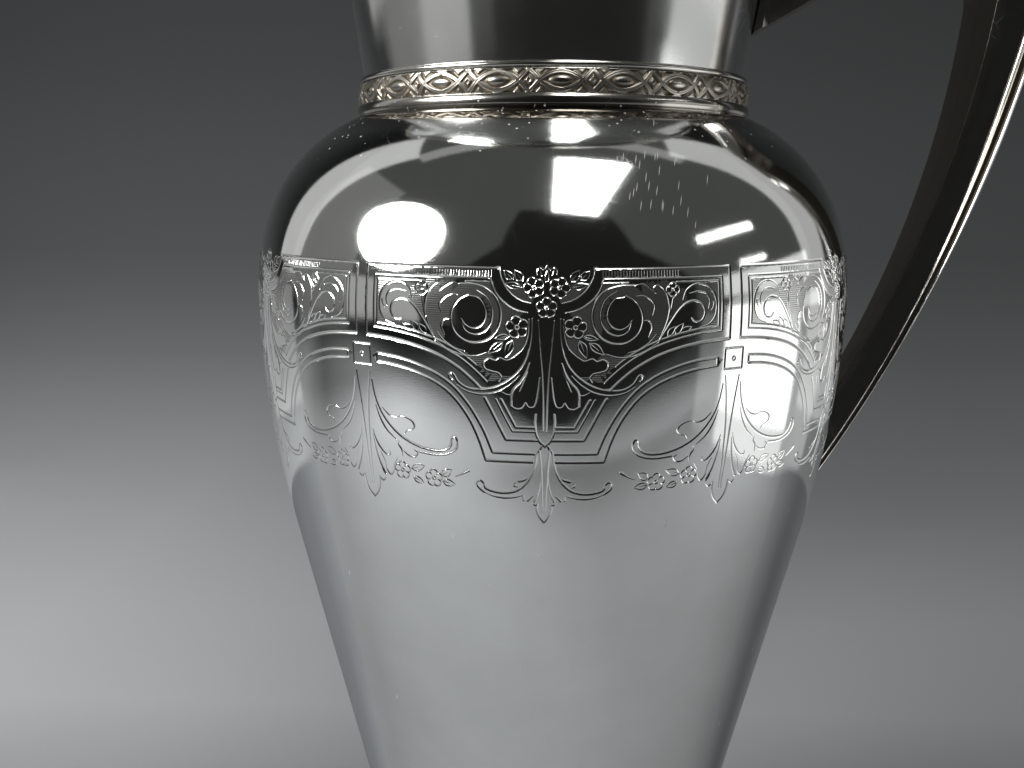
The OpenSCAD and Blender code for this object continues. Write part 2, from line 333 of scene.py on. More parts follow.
ROUND, ALONG = (1.0, 1.0, 9.0), (6.0, 6.0, 1.0)
WHITE_METAL, GREY_METAL, HANDLE_METAL = (0.94, 0.95, 0.935), (0.60, 0.585, 0.545), (0.92, 0.91, 0.89)
SILVER_BODY = silver("polished silver body", WHITE_METAL, 0.045, 0.42, 0.7, ROUND, 1.0, engraved=True)
SILVER_NECK = silver("polished silver neck", WHITE_METAL, 0.11, 0.42, 0.7, ROUND)
SILVER_MOUNTS = silver("polished silver mounts", GREY_METAL, 0.11, 0.85, 0.3, ROUND, 0.6)
SILVER_HANDLE = silver("polished silver handle", HANDLE_METAL, 0.06, 0.9, 0.25, ALONG)
print("materials:", [m.name for m in bpy.data.materials])

# %% [markdown]
# ## Drawing the frieze
#
# The frieze repeats six times round the body and each repeat is the same left and right, so the
# engraver needs a drawing of only half a panel, pricked through and turned over. It is drawn here on
# flat paper: along the body in millimetres from the middle of a panel, and down in millimetres from
# the frieze's top line. A cut is a list of points that the graver passes, with the width of the cut at
# its start, middle and end; a graver that is leaned over cuts wider.

# %% Lines and cuts
CUTS = []
GRAVER_LEAN = 1.25


def smooth(points, step=0.4):
    """A smooth line through the points, as closely spaced points."""
    p = np.array(points, float)
    if len(p) == 2:
        count = max(2, int(np.hypot(*(p[1] - p[0])) / 0.8) + 1)
        return p[0] + (p[1] - p[0]) * np.linspace(0, 1, count)[:, None]
    round_trip = np.allclose(p[0], p[-1])
    before, after = (p[-2], p[1]) if round_trip else (2 * p[0] - p[1], 2 * p[-1] - p[-2])
    p = np.vstack([before, p, after])
    line = []
    for a, b, c, d in zip(p, p[1:], p[2:], p[3:]):
        t1 = math.hypot(*(b - a)) ** 0.5
        t2 = t1 + math.hypot(*(c - b)) ** 0.5
        t3 = t2 + math.hypot(*(d - c)) ** 0.5
        t = np.linspace(t1, t2, max(2, int(math.hypot(*(c - b)) / step) + 1), endpoint=False)[:, None]
        ab = ((t1 - t) * a + t * b) / t1
        bc = ((t2 - t) * b + (t - t1) * c) / (t2 - t1)
        cd = ((t3 - t) * c + (t - t2) * d) / (t3 - t2)
        abc = ((t2 - t) * ab + t * bc) / t2
        bcd = ((t3 - t) * bc + (t - t1) * cd) / (t3 - t1)
        line.append(((t2 - t) * abc + (t - t1) * bcd) / (t2 - t1))
    return np.vstack(line + [p[-2:-1]])


def needed(line, slack=0.028, longest=1.5):
    """Numbers of the points that a line cannot do without."""
    kept = [0]
    while kept[-1] < len(line) - 1:
        a = b = kept[-1]
        while b + 1 < len(line) and (b == a or math.dist(line[a], line[b + 1]) <= longest):
            way, rel = line[b + 1] - line[a], line[a + 1:b + 1] - line[a]
            if (np.abs(rel[:, 0] * way[1] - rel[:, 1] * way[0]) > slack * math.hypot(*way)).any():
                break
            b += 1
        kept.append(b)
    return kept


def cut(width, *points, step=0.4):
    """One cut of the graver, with pointed ends. A width is one number, or three for start, middle and end."""
    line = points[0] if isinstance(points[0], np.ndarray) else smooth(points, step)
    widths = (width,) * 3 if np.isscalar(width) else width
    half = np.interp(np.linspace(0, 1, len(line)), [0, 0.5, 1], widths) / 2 * GRAVER_LEAN
    kept = needed(line)
    line, half = line[kept], half[kept]
    if not np.allclose(line[0], line[-1]):
        tips = (line[0], line[1], half[0]), (line[-1], line[-2], half[-1])
        ends = [a + (a - b) * h / math.hypot(*(a - b)) for a, b, h in tips]
        line = np.vstack([ends[0], line, ends[1]])
        half = np.concatenate([[0.0], half, [0.0]])
    CUTS.append((line, half))


def fine(width):
    """Widths of a cut that starts and ends as a hair."""
    return (0.4 * width, width, 0.4 * width)


def beside(line, distance):
    """A line at a distance from another."""
    d = np.gradient(line, axis=0)
    side = np.stack([-d[:, 1], d[:, 0]], 1)
    return line + distance * side / np.linalg.norm(side, axis=1)[:, None]


# %% Flowers and leaves
def rosette(x, z, r, turn=90, petals=5):
    """A small flower: a scalloped outline, a short cut between each two petals, and an eye."""
    a = np.radians(turn) + np.linspace(0, 2 * np.pi, petals * 10 + 1)
    edge = r * (0.74 + 0.26 * np.abs(np.cos(petals * (a - np.radians(turn)) / 2)) ** 0.7)
    cut(0.34, np.stack([x + edge * np.cos(a), z + edge * np.sin(a)], 1))
    for k in range(petals):
        b = math.radians(turn) + 2 * math.pi * (k + 0.5) / petals
        way = np.array([math.cos(b), math.sin(b)]) * r
        cut((0.3, 0.26, 0.12), np.array([(x, z) + 0.74 * way, (x, z) + 0.55 * way, (x, z) + 0.36 * way]))
    a = np.linspace(0, 2 * np.pi, 9)
    cut(0.3, np.stack([x + 0.2 * r * np.cos(a), z + 0.2 * r * np.sin(a)], 1))


def leaf(x0, z0, x1, z1, fat=0.32, vein=True):
    """A small pointed leaf from its stalk to its tip."""
    a, b = np.array([x0, z0]), np.array([x1, z1])
    side = np.array([z0 - z1, x1 - x0]) * fat
    for s in (side, -side):
        low, high = a + 0.3 * (b - a) + 0.8 * s, a + 0.6 * (b - a) + 0.75 * s
        cut(fine(0.36), tuple(a), tuple(low), tuple(high), tuple(b), step=0.3)
    if vein:
        cut((0.26, 0.2, 0.1), tuple(a + 0.08 * (b - a)), tuple(a + 0.6 * (b - a)))


# %% [markdown]
# ### The frame and the straps
#
# The panel is framed by bands of two or three parallel lines, the strapwork. The lines under the panel
# sweep down from the pilasters and meet in a flat pendant. Short upright ticks shade the top band.

# %% Frame and straps of the panel
cut(0.5, (34.75, -13.3), (34.75, 0.0))
cut(0.5, (34.75, 0.0), (8.5, 0.0))
cut(0.4, (32.95, -11.5), (32.95, -1.75))
cut(0.4, (32.95, -1.75), (10.1, -1.75))
cut(0.36, (32.2, -10.6), (32.2, -2.5))
cut(0.36, (32.2, -2.5), (23.6, -2.5))
cut(0.36, (14.5, -2.45), (9.7, -2.5))
strap = smooth([(34.75, -13.3), (31.5, -13.45), (28, -13.8), (24, -14.6), (20, -15.9), (16, -18.1),
                (13.2, -20.4), (11.8, -21.8)])
cut(0.62, strap)
second = beside(strap, -1.75)
cut(0.44, np.vstack([[(32.95, -11.6)], second[second[:, 0] < 32.5]]))
third = beside(strap, -2.6)
cut(0.4, np.vstack([[(32.2, -10.75)], third[(third[:, 0] < 31.8) & (third[:, 0] > 12.5)]]))
cut(0.55, (11.0, -23.5), (9.9, -25.6), (8.5, -28.5), (7.1, -31.35))
cut(0.55, (7.1, -31.35), (1.55, -31.35))
cut(0.36, (8.9, -23.7), (7.4, -26.8), (5.9, -29.75))
cut(0.36, (5.9, -29.75), (1.8, -29.75))
cut(0.5, (8.0, -23.7), (6.7, -26.2), (5.3, -28.95))
cut(0.5, (5.3, -28.95), (1.9, -28.95))
cut(0.55, (32.4, -16.65), (28, -17.05), (24, -18.0), (20, -19.6), (17, -21.6), (15, -23.7), (13, -26.5),
    (11, -30.3), (9.6, -34.0))
cut(0.5, (9.6, -34.0), (1.9, -34.0))
cut(0.55, (32.4, -18.2), (28, -18.65), (24, -19.6), (20, -21.3), (17, -23.5), (14, -27.5), (12.2, -31.4),
    (10.9, -35.6))
cut(0.55, (10.9, -35.6), (2.05, -35.6))
cut(0.5, (32.4, -16.65), (32.4, -18.2))
for tick in range(27):
    cut(0.24, (9.9 + 0.54 * tick, -0.55), (9.9 + 0.54 * tick, -1.45))
print("cuts in the frame and straps:", len(CUTS))

# %% [markdown]
# ### The flowers, the drop and the scrolls
#
# A bowl of flowers hangs from the middle of the top band, with a long drop and two leafy stems below
# it. A large scroll and a small one fill the panel on each side, as acanthus does on so much silver.

# %% Bowl, drop and stems
cut((0.4, 0.5, 0.3), (8.5, 0.0), (8.05, -1.9), (6.95, -3.7), (5.6, -5.0), (4.2, -5.75), (2.7, -6.1))
cut((0.4, 0.5, 0.3), (10.1, -1.75), (9.3, -3.8), (7.95, -5.65), (6.3, -6.9), (4.7, -7.55), (3.3, -7.8))
rosette(2.25, -3.35, 1.85, 70)
rosette(0, -6.95, 1.85, 90)
leaf(4.25, -2.3, 5.75, -0.35, 0.34)
leaf(5.95, -2.0, 7.65, -0.45, 0.34)
leaf(4.45, -3.35, 7.45, -2.75, 0.22)
cut(0.36, (0, 0.55), (0.6, -0.25), (1.15, 0.2), (1.75, -0.2), (1.75, -1.1))
cut(0.3, (0, -0.4), (0.35, -1.4), (0.2, -2.3))
cut(0.26, (1.15, -0.5), (0.9, -1.3))
cut((0.3, 0.42, 0.3), (1.4, -9.2), (1.05, -14), (0.62, -19), (0.38, -24), (0.28, -29.6))
cut(0.42, (1.65, -26.4), (1.8, -28.2), (1.55, -30.2), (0.9, -31.6), (0, -32.45))
cut((0.3, 0.6, 0.4), (2.85, -16.9), (3.5, -18.9), (4.5, -20.6), (5.6, -21.8), (6.05, -23.2), (6.1, -25.0))
cut((0.4, 0.4, 0.3), (6.1, -25.0), (5.3, -25.5), (4.2, -25.35), (3.5, -24.3))
cut((0.3, 0.4, 0.3), (3.5, -24.3), (3.0, -25.1), (2.1, -25.1), (1.6, -24.2), (1.3, -22.2), (1.05, -19.6))
cut((0.2, 0.3, 0.1), (4.6, -22.2), (3.9, -20.6), (3.2, -18.6))
cut((0.3, 0.3, 0.2), (6.1, -22.9), (7.1, -22.8), (7.9, -22.3))
cut((0.3, 0.5, 0.36), (2.5, -8.9), (2.55, -12), (3.1, -15.2), (4.3, -17.9), (6.5, -20.1), (9, -21.5),
    (12, -22.1), (14.4, -21.8), (16, -20.7), (16.6, -19.6), (17.1, -19.2), (17.5, -19.5), (17.45, -20.2),
    (17.0, -20.4))
cut((0.2, 0.45, 0.2), (4.6, -19.2), (6.4, -21.0), (9, -22.5), (12, -22.95), (14.6, -22.4), (16.2, -21.4))
cut((0.3, 0.42, 0.2), (3.05, -9.0), (3.2, -12), (4.0, -14.3), (5.4, -15.65))
cut((0.2, 0.42, 0.3), (5.4, -15.65), (6.8, -16.5), (8.3, -16.1), (9.0, -16.6), (10.2, -16.3),
    (11.15, -17.2), (10.8, -18.2), (9.5, -18.65), (8.4, -18.9), (7.9, -19.7), (8.3, -20.5))
rosette(5.15, -10.5, 2.0, 80)
leaf(6.5, -12.1, 9.2, -12.6, 0.2)
leaf(5.9, -12.8, 7.2, -16.0, 0.24)
leaf(7.6, -13.2, 10.3, -15.4, 0.22)

# %% Large and small scroll
cut((0.3, 0.5, 0.4), (14.0, -4.8), (15.6, -5.7), (16.9, -7.7), (17.1, -9.6), (16.3, -11.8), (14.2, -13.3),
    (11.8, -13.4), (9.7, -12.4), (8.3, -10.3), (8.0, -7.8), (8.8, -5.4), (10.5, -3.7), (13, -2.95),
    (15.6, -2.95))
cut(fine(0.45), (13.8, -5.0), (12.1, -5.35), (10.95, -6.9), (10.75, -8.9), (11.6, -10.4), (13, -10.9),
    (14.4, -10.3), (15.1, -9.2))
cut(fine(0.45), (12.4, -4.0), (10.5, -5.3), (9.55, -7.4), (9.75, -9.8), (10.9, -11.4), (12.8, -12.0),
    (14.5, -11.2), (15.1, -9.2))
cut(fine(0.4), (20.3, -12.7), (21.6, -9.8), (22.15, -7.2), (21.5, -4.5), (20.0, -3.0), (19.0, -3.4),
    (19.4, -4.4))
cut(fine(0.4), (19.4, -4.4), (18.3, -3.4), (17.1, -2.75), (15.6, -2.95))
cut(fine(0.4), (18.9, -8.3), (19.3, -6.7), (18.3, -5.4), (17.0, -4.8), (16.0, -4.9))
cut(fine(0.4), (18.3, -12.2), (18.9, -10.7), (18.3, -9.4), (17.3, -9.3))
cut(fine(0.4), (10.6, -15.2), (12.8, -15.9), (15.3, -15.8), (17.6, -14.95), (20.2, -13.3))
cut(fine(0.36), (14.6, -15.05), (16.5, -14.6), (18.5, -13.3), (19.7, -11.8))
cut((0.45, 0.45, 0.3), (20.2, -13.3), (21.4, -11.3), (22.7, -9.3), (24.2, -7.3), (25.7, -6.2),
    (27.4, -6.0), (28.8, -6.9), (29.2, -8.3), (28.5, -9.6), (27.2, -9.8), (26.5, -9.1))
cut(fine(0.45), (24.7, -5.7), (25.5, -3.9), (27.3, -2.95), (29.5, -3.25), (31.1, -4.7), (31.7, -6.9),
    (31.3, -9.0), (30.1, -10.3), (28.4, -10.8))
cut(fine(0.4), (26.1, -4.6), (27.9, -4.3), (29.5, -4.8), (30.2, -6.1), (29.9, -7.5))
cut((0.3, 0.24, 0.1), (31.1, -6.4), (30.9, -7.3), (30.4, -7.9))
rosette(22.85, -3.85, 1.3, 90, 4)
cut((0.3, 0.3, 0.2), (22.0, -9.0), (22.5, -6.9), (22.8, -5.2))
leaf(21.9, -12.2, 23.4, -10.5, 0.26, False)
leaf(23.4, -11.9, 24.9, -10.0, 0.26, False)
leaf(24.5, -11.6, 26.6, -10.7, 0.26, False)
print("cuts so far:", len(CUTS))

# %% [markdown]
# ### The pendants and the garland
#
# A leafy pendant hangs below the middle of each panel and another below the small square on the line
# between two panels. A garland of two flowers and their leaves reaches from one to the other.

# %% Pendants and garland
cut((0.4, 0.5, 0.4), (0.6, -32.45), (1.4, -33.8), (1.7, -36), (2.4, -38.2), (3.6, -40.1), (5.4, -41.5),
    (7.6, -42.0), (9.8, -41.8), (11.2, -41.2), (11.5, -40.2), (12.2, -39.7), (12.8, -40.3), (12.5, -41.2),
    (11.4, -42.1))
cut(fine(0.4), (4.0, -42.35), (6, -42.9), (8, -43.0), (10, -42.7), (11.4, -42.1))
cut((0.2, 0.4, 0.55), (2.45, -38.2), (3.5, -39.1), (4.8, -39.5))
cut(fine(0.36), (5.3, -39.7), (5.7, -40.1), (5.5, -40.6), (5.0, -40.7))
cut((0.42, 0.36, 0.16), (0.95, -33.4), (0.62, -37), (0.42, -41), (0.24, -45.6))
cut((0.2, 0.3, 0.5), (0.62, -37.6), (0.85, -40.6), (1.4, -42.6), (1.9, -43.5))
cut((0.2, 0.4, 0.5), (2.1, -42.4), (2.6, -42.9), (3.15, -43.4))
cut(0.36, (4.0, -42.4), (3.85, -43.4))
cut(0.36, (1.95, -44.1), (1.55, -44.3), (1.25, -44.0))
cut(0.45, (1.25, -44.0), (1.4, -45.2), (0.9, -46.7), (0, -47.8))
corners = [(33.95, -15.1), (38.05, -15.1), (38.05, -19.05), (33.95, -19.05), (33.95, -15.1)]
for start, end in zip(corners, corners[1:]):
    cut(0.46, start, end)
cut(0.36, (36.4, -17.1), (36.0, -16.7), (35.6, -17.1), (36.0, -17.5), (36.4, -17.1), step=0.25)
cut((0.3, 0.42, 0.2), (34.4, -20.3), (35.0, -25), (35.4, -30), (35.6, -36), (35.75, -43))
cut((0.3, 0.5, 0.4), (33.95, -21.8), (33.4, -25), (32.3, -27.8), (30.6, -30.2), (28.2, -32.3),
    (25.2, -33.75), (22, -34.45), (19.6, -34.4), (18.2, -33.8), (17.5, -32.8), (17.4, -31.8),
    (16.8, -31.4), (16.3, -32.1), (16.4, -33.3), (17.2, -34.3), (18.6, -35.0), (21, -35.35),
    (24.2, -35.1))
cut(fine(0.42), (33.4, -26.8), (32.5, -29.3), (31.1, -31.6), (29.2, -33.2))
cut(fine(0.4), (31.9, -27.1), (30.5, -28.4), (28.9, -28.8), (27.9, -28.4))
cut(fine(0.4), (27.9, -28.4), (26.6, -28.6), (25.3, -29.3), (24.95, -30.1), (25.6, -30.9), (26.7, -31.2),
    (27.2, -31.9))
cut(fine(0.4), (28.6, -33.4), (28.8, -34.1), (28.1, -35.1), (28.0, -36.5))
cut(fine(0.42), (27.7, -35.4), (26.5, -36.2), (25.2, -36.2), (24.6, -35.4), (25.3, -34.9))
cut(fine(0.42), (34.6, -31.8), (33.9, -34), (32.6, -35.9), (31.4, -36.7), (30.8, -36.4), (30.9, -35.8))
cut((0.2, 0.4, 0.6), (34.65, -32.8), (34.2, -36), (33.4, -38.8), (32.4, -40.8))
cut(fine(0.36), (33.1, -36.3), (32.3, -38), (32.0, -39.8), (31.1, -40.7), (30.5, -40.0), (30.1, -38.4),
    (29.2, -37.0))
cut(0.42, (34.1, -41.5), (34.2, -43.2), (34.8, -44.8), (36, -46.1))
cut(fine(0.4), (34.1, -41.5), (33.2, -42.2), (32.5, -41.6))
rosette(28.3, -39.3, 1.75, 90)
rosette(21.5, -40.1, 1.75, 90)
leaf(26.3, -38.8, 23.3, -37.9, 0.26)
leaf(26.0, -40.5, 23.7, -41.4, 0.28)
leaf(19.9, -39.4, 17.7, -38.1, 0.34)
leaf(19.8, -40.6, 17.1, -41.0, 0.28)
cut((0.2, 0.3, 0.6), (17.0, -39.35), (15.6, -38.7), (14.3, -37.8))
cut_length = sum(np.hypot(*np.diff(line, axis=0).T).sum() for line, half in CUTS)
print("cuts in half a panel:", len(CUTS), "length in mm:", round(cut_length))

# %% [markdown]
# ## Cutting the frieze into metal
#
# A graver leaves a groove with two flat sides that meet in a point, like a V. On polished silver that
# shape is what is seen: each side of the V mirrors another part of the room, so a line looks white
# where the ground is dark and black where it is light. Paint or bump alone does not do that, so the
# grooves are real faces here. The paper is divided into triangles whose edges run along both lips
# and the bottom of each groove, and each point is then lowered by the depth of the cut there.

# %% Divide half a panel into triangles
HALF, TOP, BOTTOM, RING_STEP = 36.0, 1.5, -49.5, 1.5
SLOPE = 0.5


def cut_depth(points):
    """Depth of the engraving at each point of the paper."""
    depth = np.zeros(len(points))
    for line, half in ALL_CUTS:
        low, high = line.min(0) - 0.4, line.max(0) + 0.4
        near = np.where(((points >= low) & (points <= high)).all(1))[0]
        if not len(near):
            continue
        a, way = line[:-1], np.diff(line, axis=0)
        rel = points[near][:, None] - a[None]
        t = np.clip((rel * way).sum(2) / np.maximum((way ** 2).sum(1), 1e-9), 0, 1)
        gap = np.linalg.norm(rel - t[..., None] * way, axis=2)
        here = half[:-1] + (half[1:] - half[:-1]) * t
        depth[near] = np.maximum(depth[near], SLOPE * (here - gap).max(1))
    return np.where(depth < 0.004, 0.0, depth)


def half_panel():
    """Points and triangles of half a panel on paper."""
    points, edges = [], []

    def add(line):
        inside = (line[:, 0] > -0.6) & (line[:, 0] < HALF + 0.6)
        for i in range(len(line)):
            points.append(Vector(line[i]))
            if i and inside[i] and inside[i - 1]:
                edges.append((len(points) - 2, len(points) - 1))

    for line, half in ALL_CUTS:
        d = np.gradient(line, axis=0)
        side = np.stack([-d[:, 1], d[:, 0]], 1) / np.linalg.norm(d, axis=1)[:, None]
        add(line)
        add(line + side * half[:, None])
        add(line - side * half[:, None])
    edge = np.arange(0, HALF + 0.1, RING_STEP)
    for z in (TOP, BOTTOM):
        add(np.stack([edge, np.full(len(edge), z)], 1))
    rows = np.append(np.arange(BOTTOM, TOP, RING_STEP), TOP)
    for s in (0.0, HALF):
        add(np.stack([np.full(len(rows), s), rows], 1))
    across, up = np.arange(1.0, HALF, 2.0), np.arange(BOTTOM + 1.2, TOP, 2.0)
    grid = np.stack(np.meshgrid(across, up), -1).reshape(-1, 2)
    points.extend(Vector(p) for p in grid)
    found = delaunay_2d_cdt(points, edges, [], 0, 0.008)
    p = np.array([tuple(v) for v in found[0]])
    faces = np.array([f for f in found[2] if len(f) == 3])
    mid = p[faces].mean(1)
    on_paper = (mid[:, 0] > 1e-5) & (mid[:, 0] < HALF - 1e-5) & (mid[:, 1] > BOTTOM) & (mid[:, 1] < TOP)
    faces = faces[on_paper]
    used = np.unique(faces)
    index = np.full(len(p), -1)
    index[used] = np.arange(len(used))
    p, faces = p[used], index[faces]
    u, v = p[faces[:, 1]] - p[faces[:, 0]], p[faces[:, 2]] - p[faces[:, 0]]
    over = u[:, 0] * v[:, 1] - u[:, 1] * v[:, 0] < 0
    faces[over] = faces[over][:, ::-1]
    return p, faces


MIRROR = np.array([-1.0, 1.0])
ALL_CUTS = list(CUTS)
ALL_CUTS += [(line * MIRROR, half) for line, half in CUTS if line[:, 0].min() < 1.5]
ALL_CUTS += [((line * MIRROR) + [2 * HALF, 0], half) for line, half in CUTS if line[:, 0].max() > HALF - 1.5]
paper, triangles = half_panel()
depths = cut_depth(paper)
print("half panel:", len(paper), "points,", len(triangles), "triangles, deepest cut:", round(depths.max(), 3))

# %% [markdown]
# The ground round the scrolls is matted. It is found as a pool spreads: from a few points in the
# ground the mark goes on from triangle to triangle and stops at every cut, and also where two cuts leave
# only a narrow gap between them.

# %% Matted ground
SCROLL_EYE = (13.3, -8.0, 3.2)
GROUND_SEEDS = [(9.5, -20.2), (4.8, -4.1), (6.7, -8.0), (8.7, -8.0), (10.8, -5.2), (7.8, -11.0), (11.0, -3.0),
                (21.2, -2.8), (23.8, -5.7), (30.8, -3.1), (31.2, -10.0), (4.5, -13.4), (15.5, -14.8),
                (20.5, -8.0)]
GROUND_SIDE, GROUND_TOP = 32.2, -2.4


def matted_ground(p, faces, depth, seeds, gap=0.7):
    """Marks the matted ground: uncut triangles that the seeds reach, but not through a narrow gap."""
    ground = (depth[faces] == 0).all(1)
    beside_edge = {}
    for f in np.where(ground)[0]:
        for a, b in ((0, 1), (1, 2), (2, 0)):
            beside_edge.setdefault(frozenset((faces[f, a], faces[f, b])), []).append(f)
    near, wide = ({f: [] for f in np.where(ground)[0]} for _ in range(2))
    for edge, pair in beside_edge.items():
        a, b = edge
        if len(pair) == 2:
            for f, g in (pair, pair[::-1]):
                near[f].append(g)
                if math.dist(p[a], p[b]) > gap:
                    wide[f].append(g)
    mid = p[faces].mean(1)
    stack = [np.argmin(np.where(ground, np.hypot(*(mid - seed).T), 1e9)) for seed in seeds]
    matt = np.zeros(len(faces))
    while stack:
        f = stack.pop()
        if matt[f] == 0:
            matt[f] = 1.0
            stack += wide[f] + [g for g in near[f] if not wide[g]]
    for _ in range(3):
        for f in near:
            if sum(matt[g] for g in near[f]) >= max(1, len(near[f]) - 1):
                matt[f] = 1.0
    strap_z = np.interp(mid[:, 0], third[::-1, 0], third[::-1, 1])
    in_eye = np.hypot(*(mid - SCROLL_EYE[:2]).T) < SCROLL_EYE[2]
    return matt * ((mid[:, 0] < GROUND_SIDE) & (mid[:, 1] < GROUND_TOP) & (mid[:, 1] > strap_z) & ~in_eye)


matted = matted_ground(paper, triangles, depths, GROUND_SEEDS)
print("triangles of matted ground:", int(matted.sum()))

# %% [markdown]
# The half is turned over for the other half, and the whole panel is bent round the body. A point on
# paper keeps its height; its distance along the paper becomes an angle about the axis; its depth is
# taken inwards along the body's own outward direction.

# %% Bend one panel round the body
MM_PER_DEGREE = 1.2
PANELS = 6
FIRST_PANEL = -0.4


def on_body(p, depth):
    """Points in the metal for points on paper, with the panel's middle at the front."""
    a = np.radians(p[:, 0] / MM_PER_DEGREE)
    z = FRIEZE_TOP_Z + p[:, 1]
    out = outward(z)
    r = outer_radius(z) - depth * out[:, 0]
    return np.stack([r * np.sin(a), -r * np.cos(a), z - depth * out[:, 1]], 1)


count = len(paper)
middle = np.abs(paper[:, 0]) < 1e-6
twin = np.where(middle, np.arange(count), count + np.cumsum(~middle) - 1)
panel_points = np.vstack([on_body(paper, depths), on_body(paper * MIRROR, depths)[~middle]])
panel_depths = np.concatenate([depths, depths[~middle]])
panel_faces = np.vstack([triangles, twin[triangles][:, ::-1]])
panel_mesh = make_mesh("engraved panel", panel_points, panel_faces.tolist())
panel_mesh.attributes.new("hollow", "FLOAT", "POINT").data.foreach_set("value", panel_depths)
panel_mesh.attributes.new("matted", "FLOAT", "FACE").data.foreach_set("value", np.tile(matted, 2))
print("panel:", len(panel_points), "points,", len(panel_faces), "triangles")

# %% [markdown]
# The engraver moves the paper on by a sixth of the way round and cuts again. Geometry Nodes does that:
# it sets the panel on six points on the axis, turns each by its number, makes them real and joins the
# edges that meet. The number of panels and the place of the first are inputs with names.

# %% Geometry Nodes: repeat a piece round the axis
def repeat_round(mesh, count, first, material, name):
    """A plain mesh with the given one repeated round the axis."""
    tree = bpy.data.node_groups.new(name, "GeometryNodeTree")
    tree.is_modifier = True
    tree.interface.new_socket("Geometry", in_out="INPUT", socket_type="NodeSocketGeometry")
    count_socket = tree.interface.new_socket("Repeats", in_out="INPUT", socket_type="NodeSocketInt")
    first_socket = tree.interface.new_socket("First angle", in_out="INPUT", socket_type="NodeSocketFloat")
    step_socket = tree.interface.new_socket("Step angle", in_out="INPUT", socket_type="NodeSocketFloat")
    tree.interface.new_socket("Geometry", in_out="OUTPUT", socket_type="NodeSocketGeometry")
    made = build_nodes(tree, [
        ("in", "NodeGroupInput", {}, {}),
        ("points", "GeometryNodePoints", {}, {"Count": "in.Repeats"}),
        ("number", "GeometryNodeInputIndex", {}, {}),
        reckon("angle", "MULTIPLY_ADD", "number.Index", "in.Step angle", "in.First angle"),
        ("turn", "ShaderNodeCombineXYZ", {}, {"Z": "angle.Value"}),
        ("set", "GeometryNodeInstanceOnPoints", {}, {"Points": "points.0", "Instance": "in.Geometry",
                                                     "Rotation": "turn.Vector"}),
        ("real", "GeometryNodeRealizeInstances", {}, {"Geometry": "set.Instances"}),
        ("join", "GeometryNodeMergeByDistance", {}, {"Geometry": "real.Geometry", "Distance": 2e-6}),
        ("metal", "GeometryNodeSetMaterial", {}, {"Geometry": "join.Geometry", "Material": material}),
        ("out", "NodeGroupOutput", {}, {"Geometry": "metal.Geometry"}),
    ])
    pattern = bpy.data.objects.new(name, mesh)
    bpy.context.scene.collection.objects.link(pattern)
    modifier = pattern.modifiers.new(name, "NODES")
    modifier.node_group = tree
    modifier[count_socket.identifier] = count
    modifier[first_socket.identifier] = math.radians(first)
    modifier[step_socket.identifier] = 2 * math.pi / count
    bpy.context.view_layer.update()
    graph = bpy.context.evaluated_depsgraph_get()
    result = bpy.data.meshes.new_from_object(pattern.evaluated_get(graph), preserve_all_data_layers=True,
                                             depsgraph=graph)
    pattern.modifiers.remove(modifier)
    bpy.data.objects.remove(pattern)
    print(name, "nodes:", len(made), "points:", len(result.vertices))
    return result


band = repeat_round(panel_mesh, PANELS, FIRST_PANEL, SILVER_BODY, "engraved band")

# %% [markdown]
# ## The body
#
# The band is one part of the body's skin. The plain metal above and below it is turned with the same
# number of sides, so that its edge points fall on those of the band and join. The wall is a millimetre
# of sheet, so the skin turns over at the neck and goes down again inside.

# %% Outline of the wall
SIDES = int(PANELS * 2 * HALF / RING_STEP)
WALL = 1.0
SHOULDERS_MEET = 21
SHOULDER_TOP_R = 42.0


def body_profile(inset):
    """Outline of the body set in by a distance: below the band, in the band, and above it."""
    def in_from(part):
        return part[0], part[1] - inset

    low_turn = math.degrees(math.asin((FRIEZE_TOP_Z + BOTTOM - BELLY_Z) / BELLY_ARC[1]))
    high_turn = math.degrees(math.asin((FRIEZE_TOP_Z + TOP - BELLY_Z) / LOW_SHOULDER[1]))
    top_turn = math.degrees(math.acos((SHOULDER_TOP_R - TOP_SHOULDER[0][0]) / (TOP_SHOULDER[1] - inset)))
    base = arc(in_from(BASE_ROUND), -90, -CONE_ANGLE, 16)[0]
    belly = arc(in_from(BELLY_ARC), -CONE_ANGLE, low_turn, 4)[0]
    cone = base[-1] + (belly[0] - base[-1]) * np.linspace(0, 1, 9)[1:-1, None]
    below = np.vstack([[(0.0, base[0][1])], base, cone, belly])
    inside = np.vstack([arc(in_from(BELLY_ARC), low_turn, 0, 12)[0][1:],
                        arc(in_from(LOW_SHOULDER), 0, high_turn, 6)[0][1:-1]])
    above = np.vstack([arc(in_from(LOW_SHOULDER), high_turn, SHOULDERS_MEET, 8)[0],
                       arc(in_from(TOP_SHOULDER), SHOULDERS_MEET, top_turn, 26)[0][1:]])
    return below, inside, above


def joined(parts):
    """Points, faces, depths and face marks of several parts in one, with points that meet made one."""
    points = np.vstack([p for p, f, d, m in parts])
    depth = np.concatenate([d for p, f, d, m in parts])
    marks = np.concatenate([m for p, f, d, m in parts])
    shift = np.cumsum([0] + [len(p) for p, f, d, m in parts])
    key = np.round(points / 0.004).astype(np.int64)
    _, first, index = np.unique(key, axis=0, return_index=True, return_inverse=True)
    index = index.ravel()
    faces = [tuple(index[v + s] for v in f) for (p, fs, d, m), s in zip(parts, shift) for f in fs]
    kept = [k for k, f in enumerate(faces) if len(set(f)) == len(f)]
    return points[first], [faces[k] for k in kept], depth[first], marks[kept]


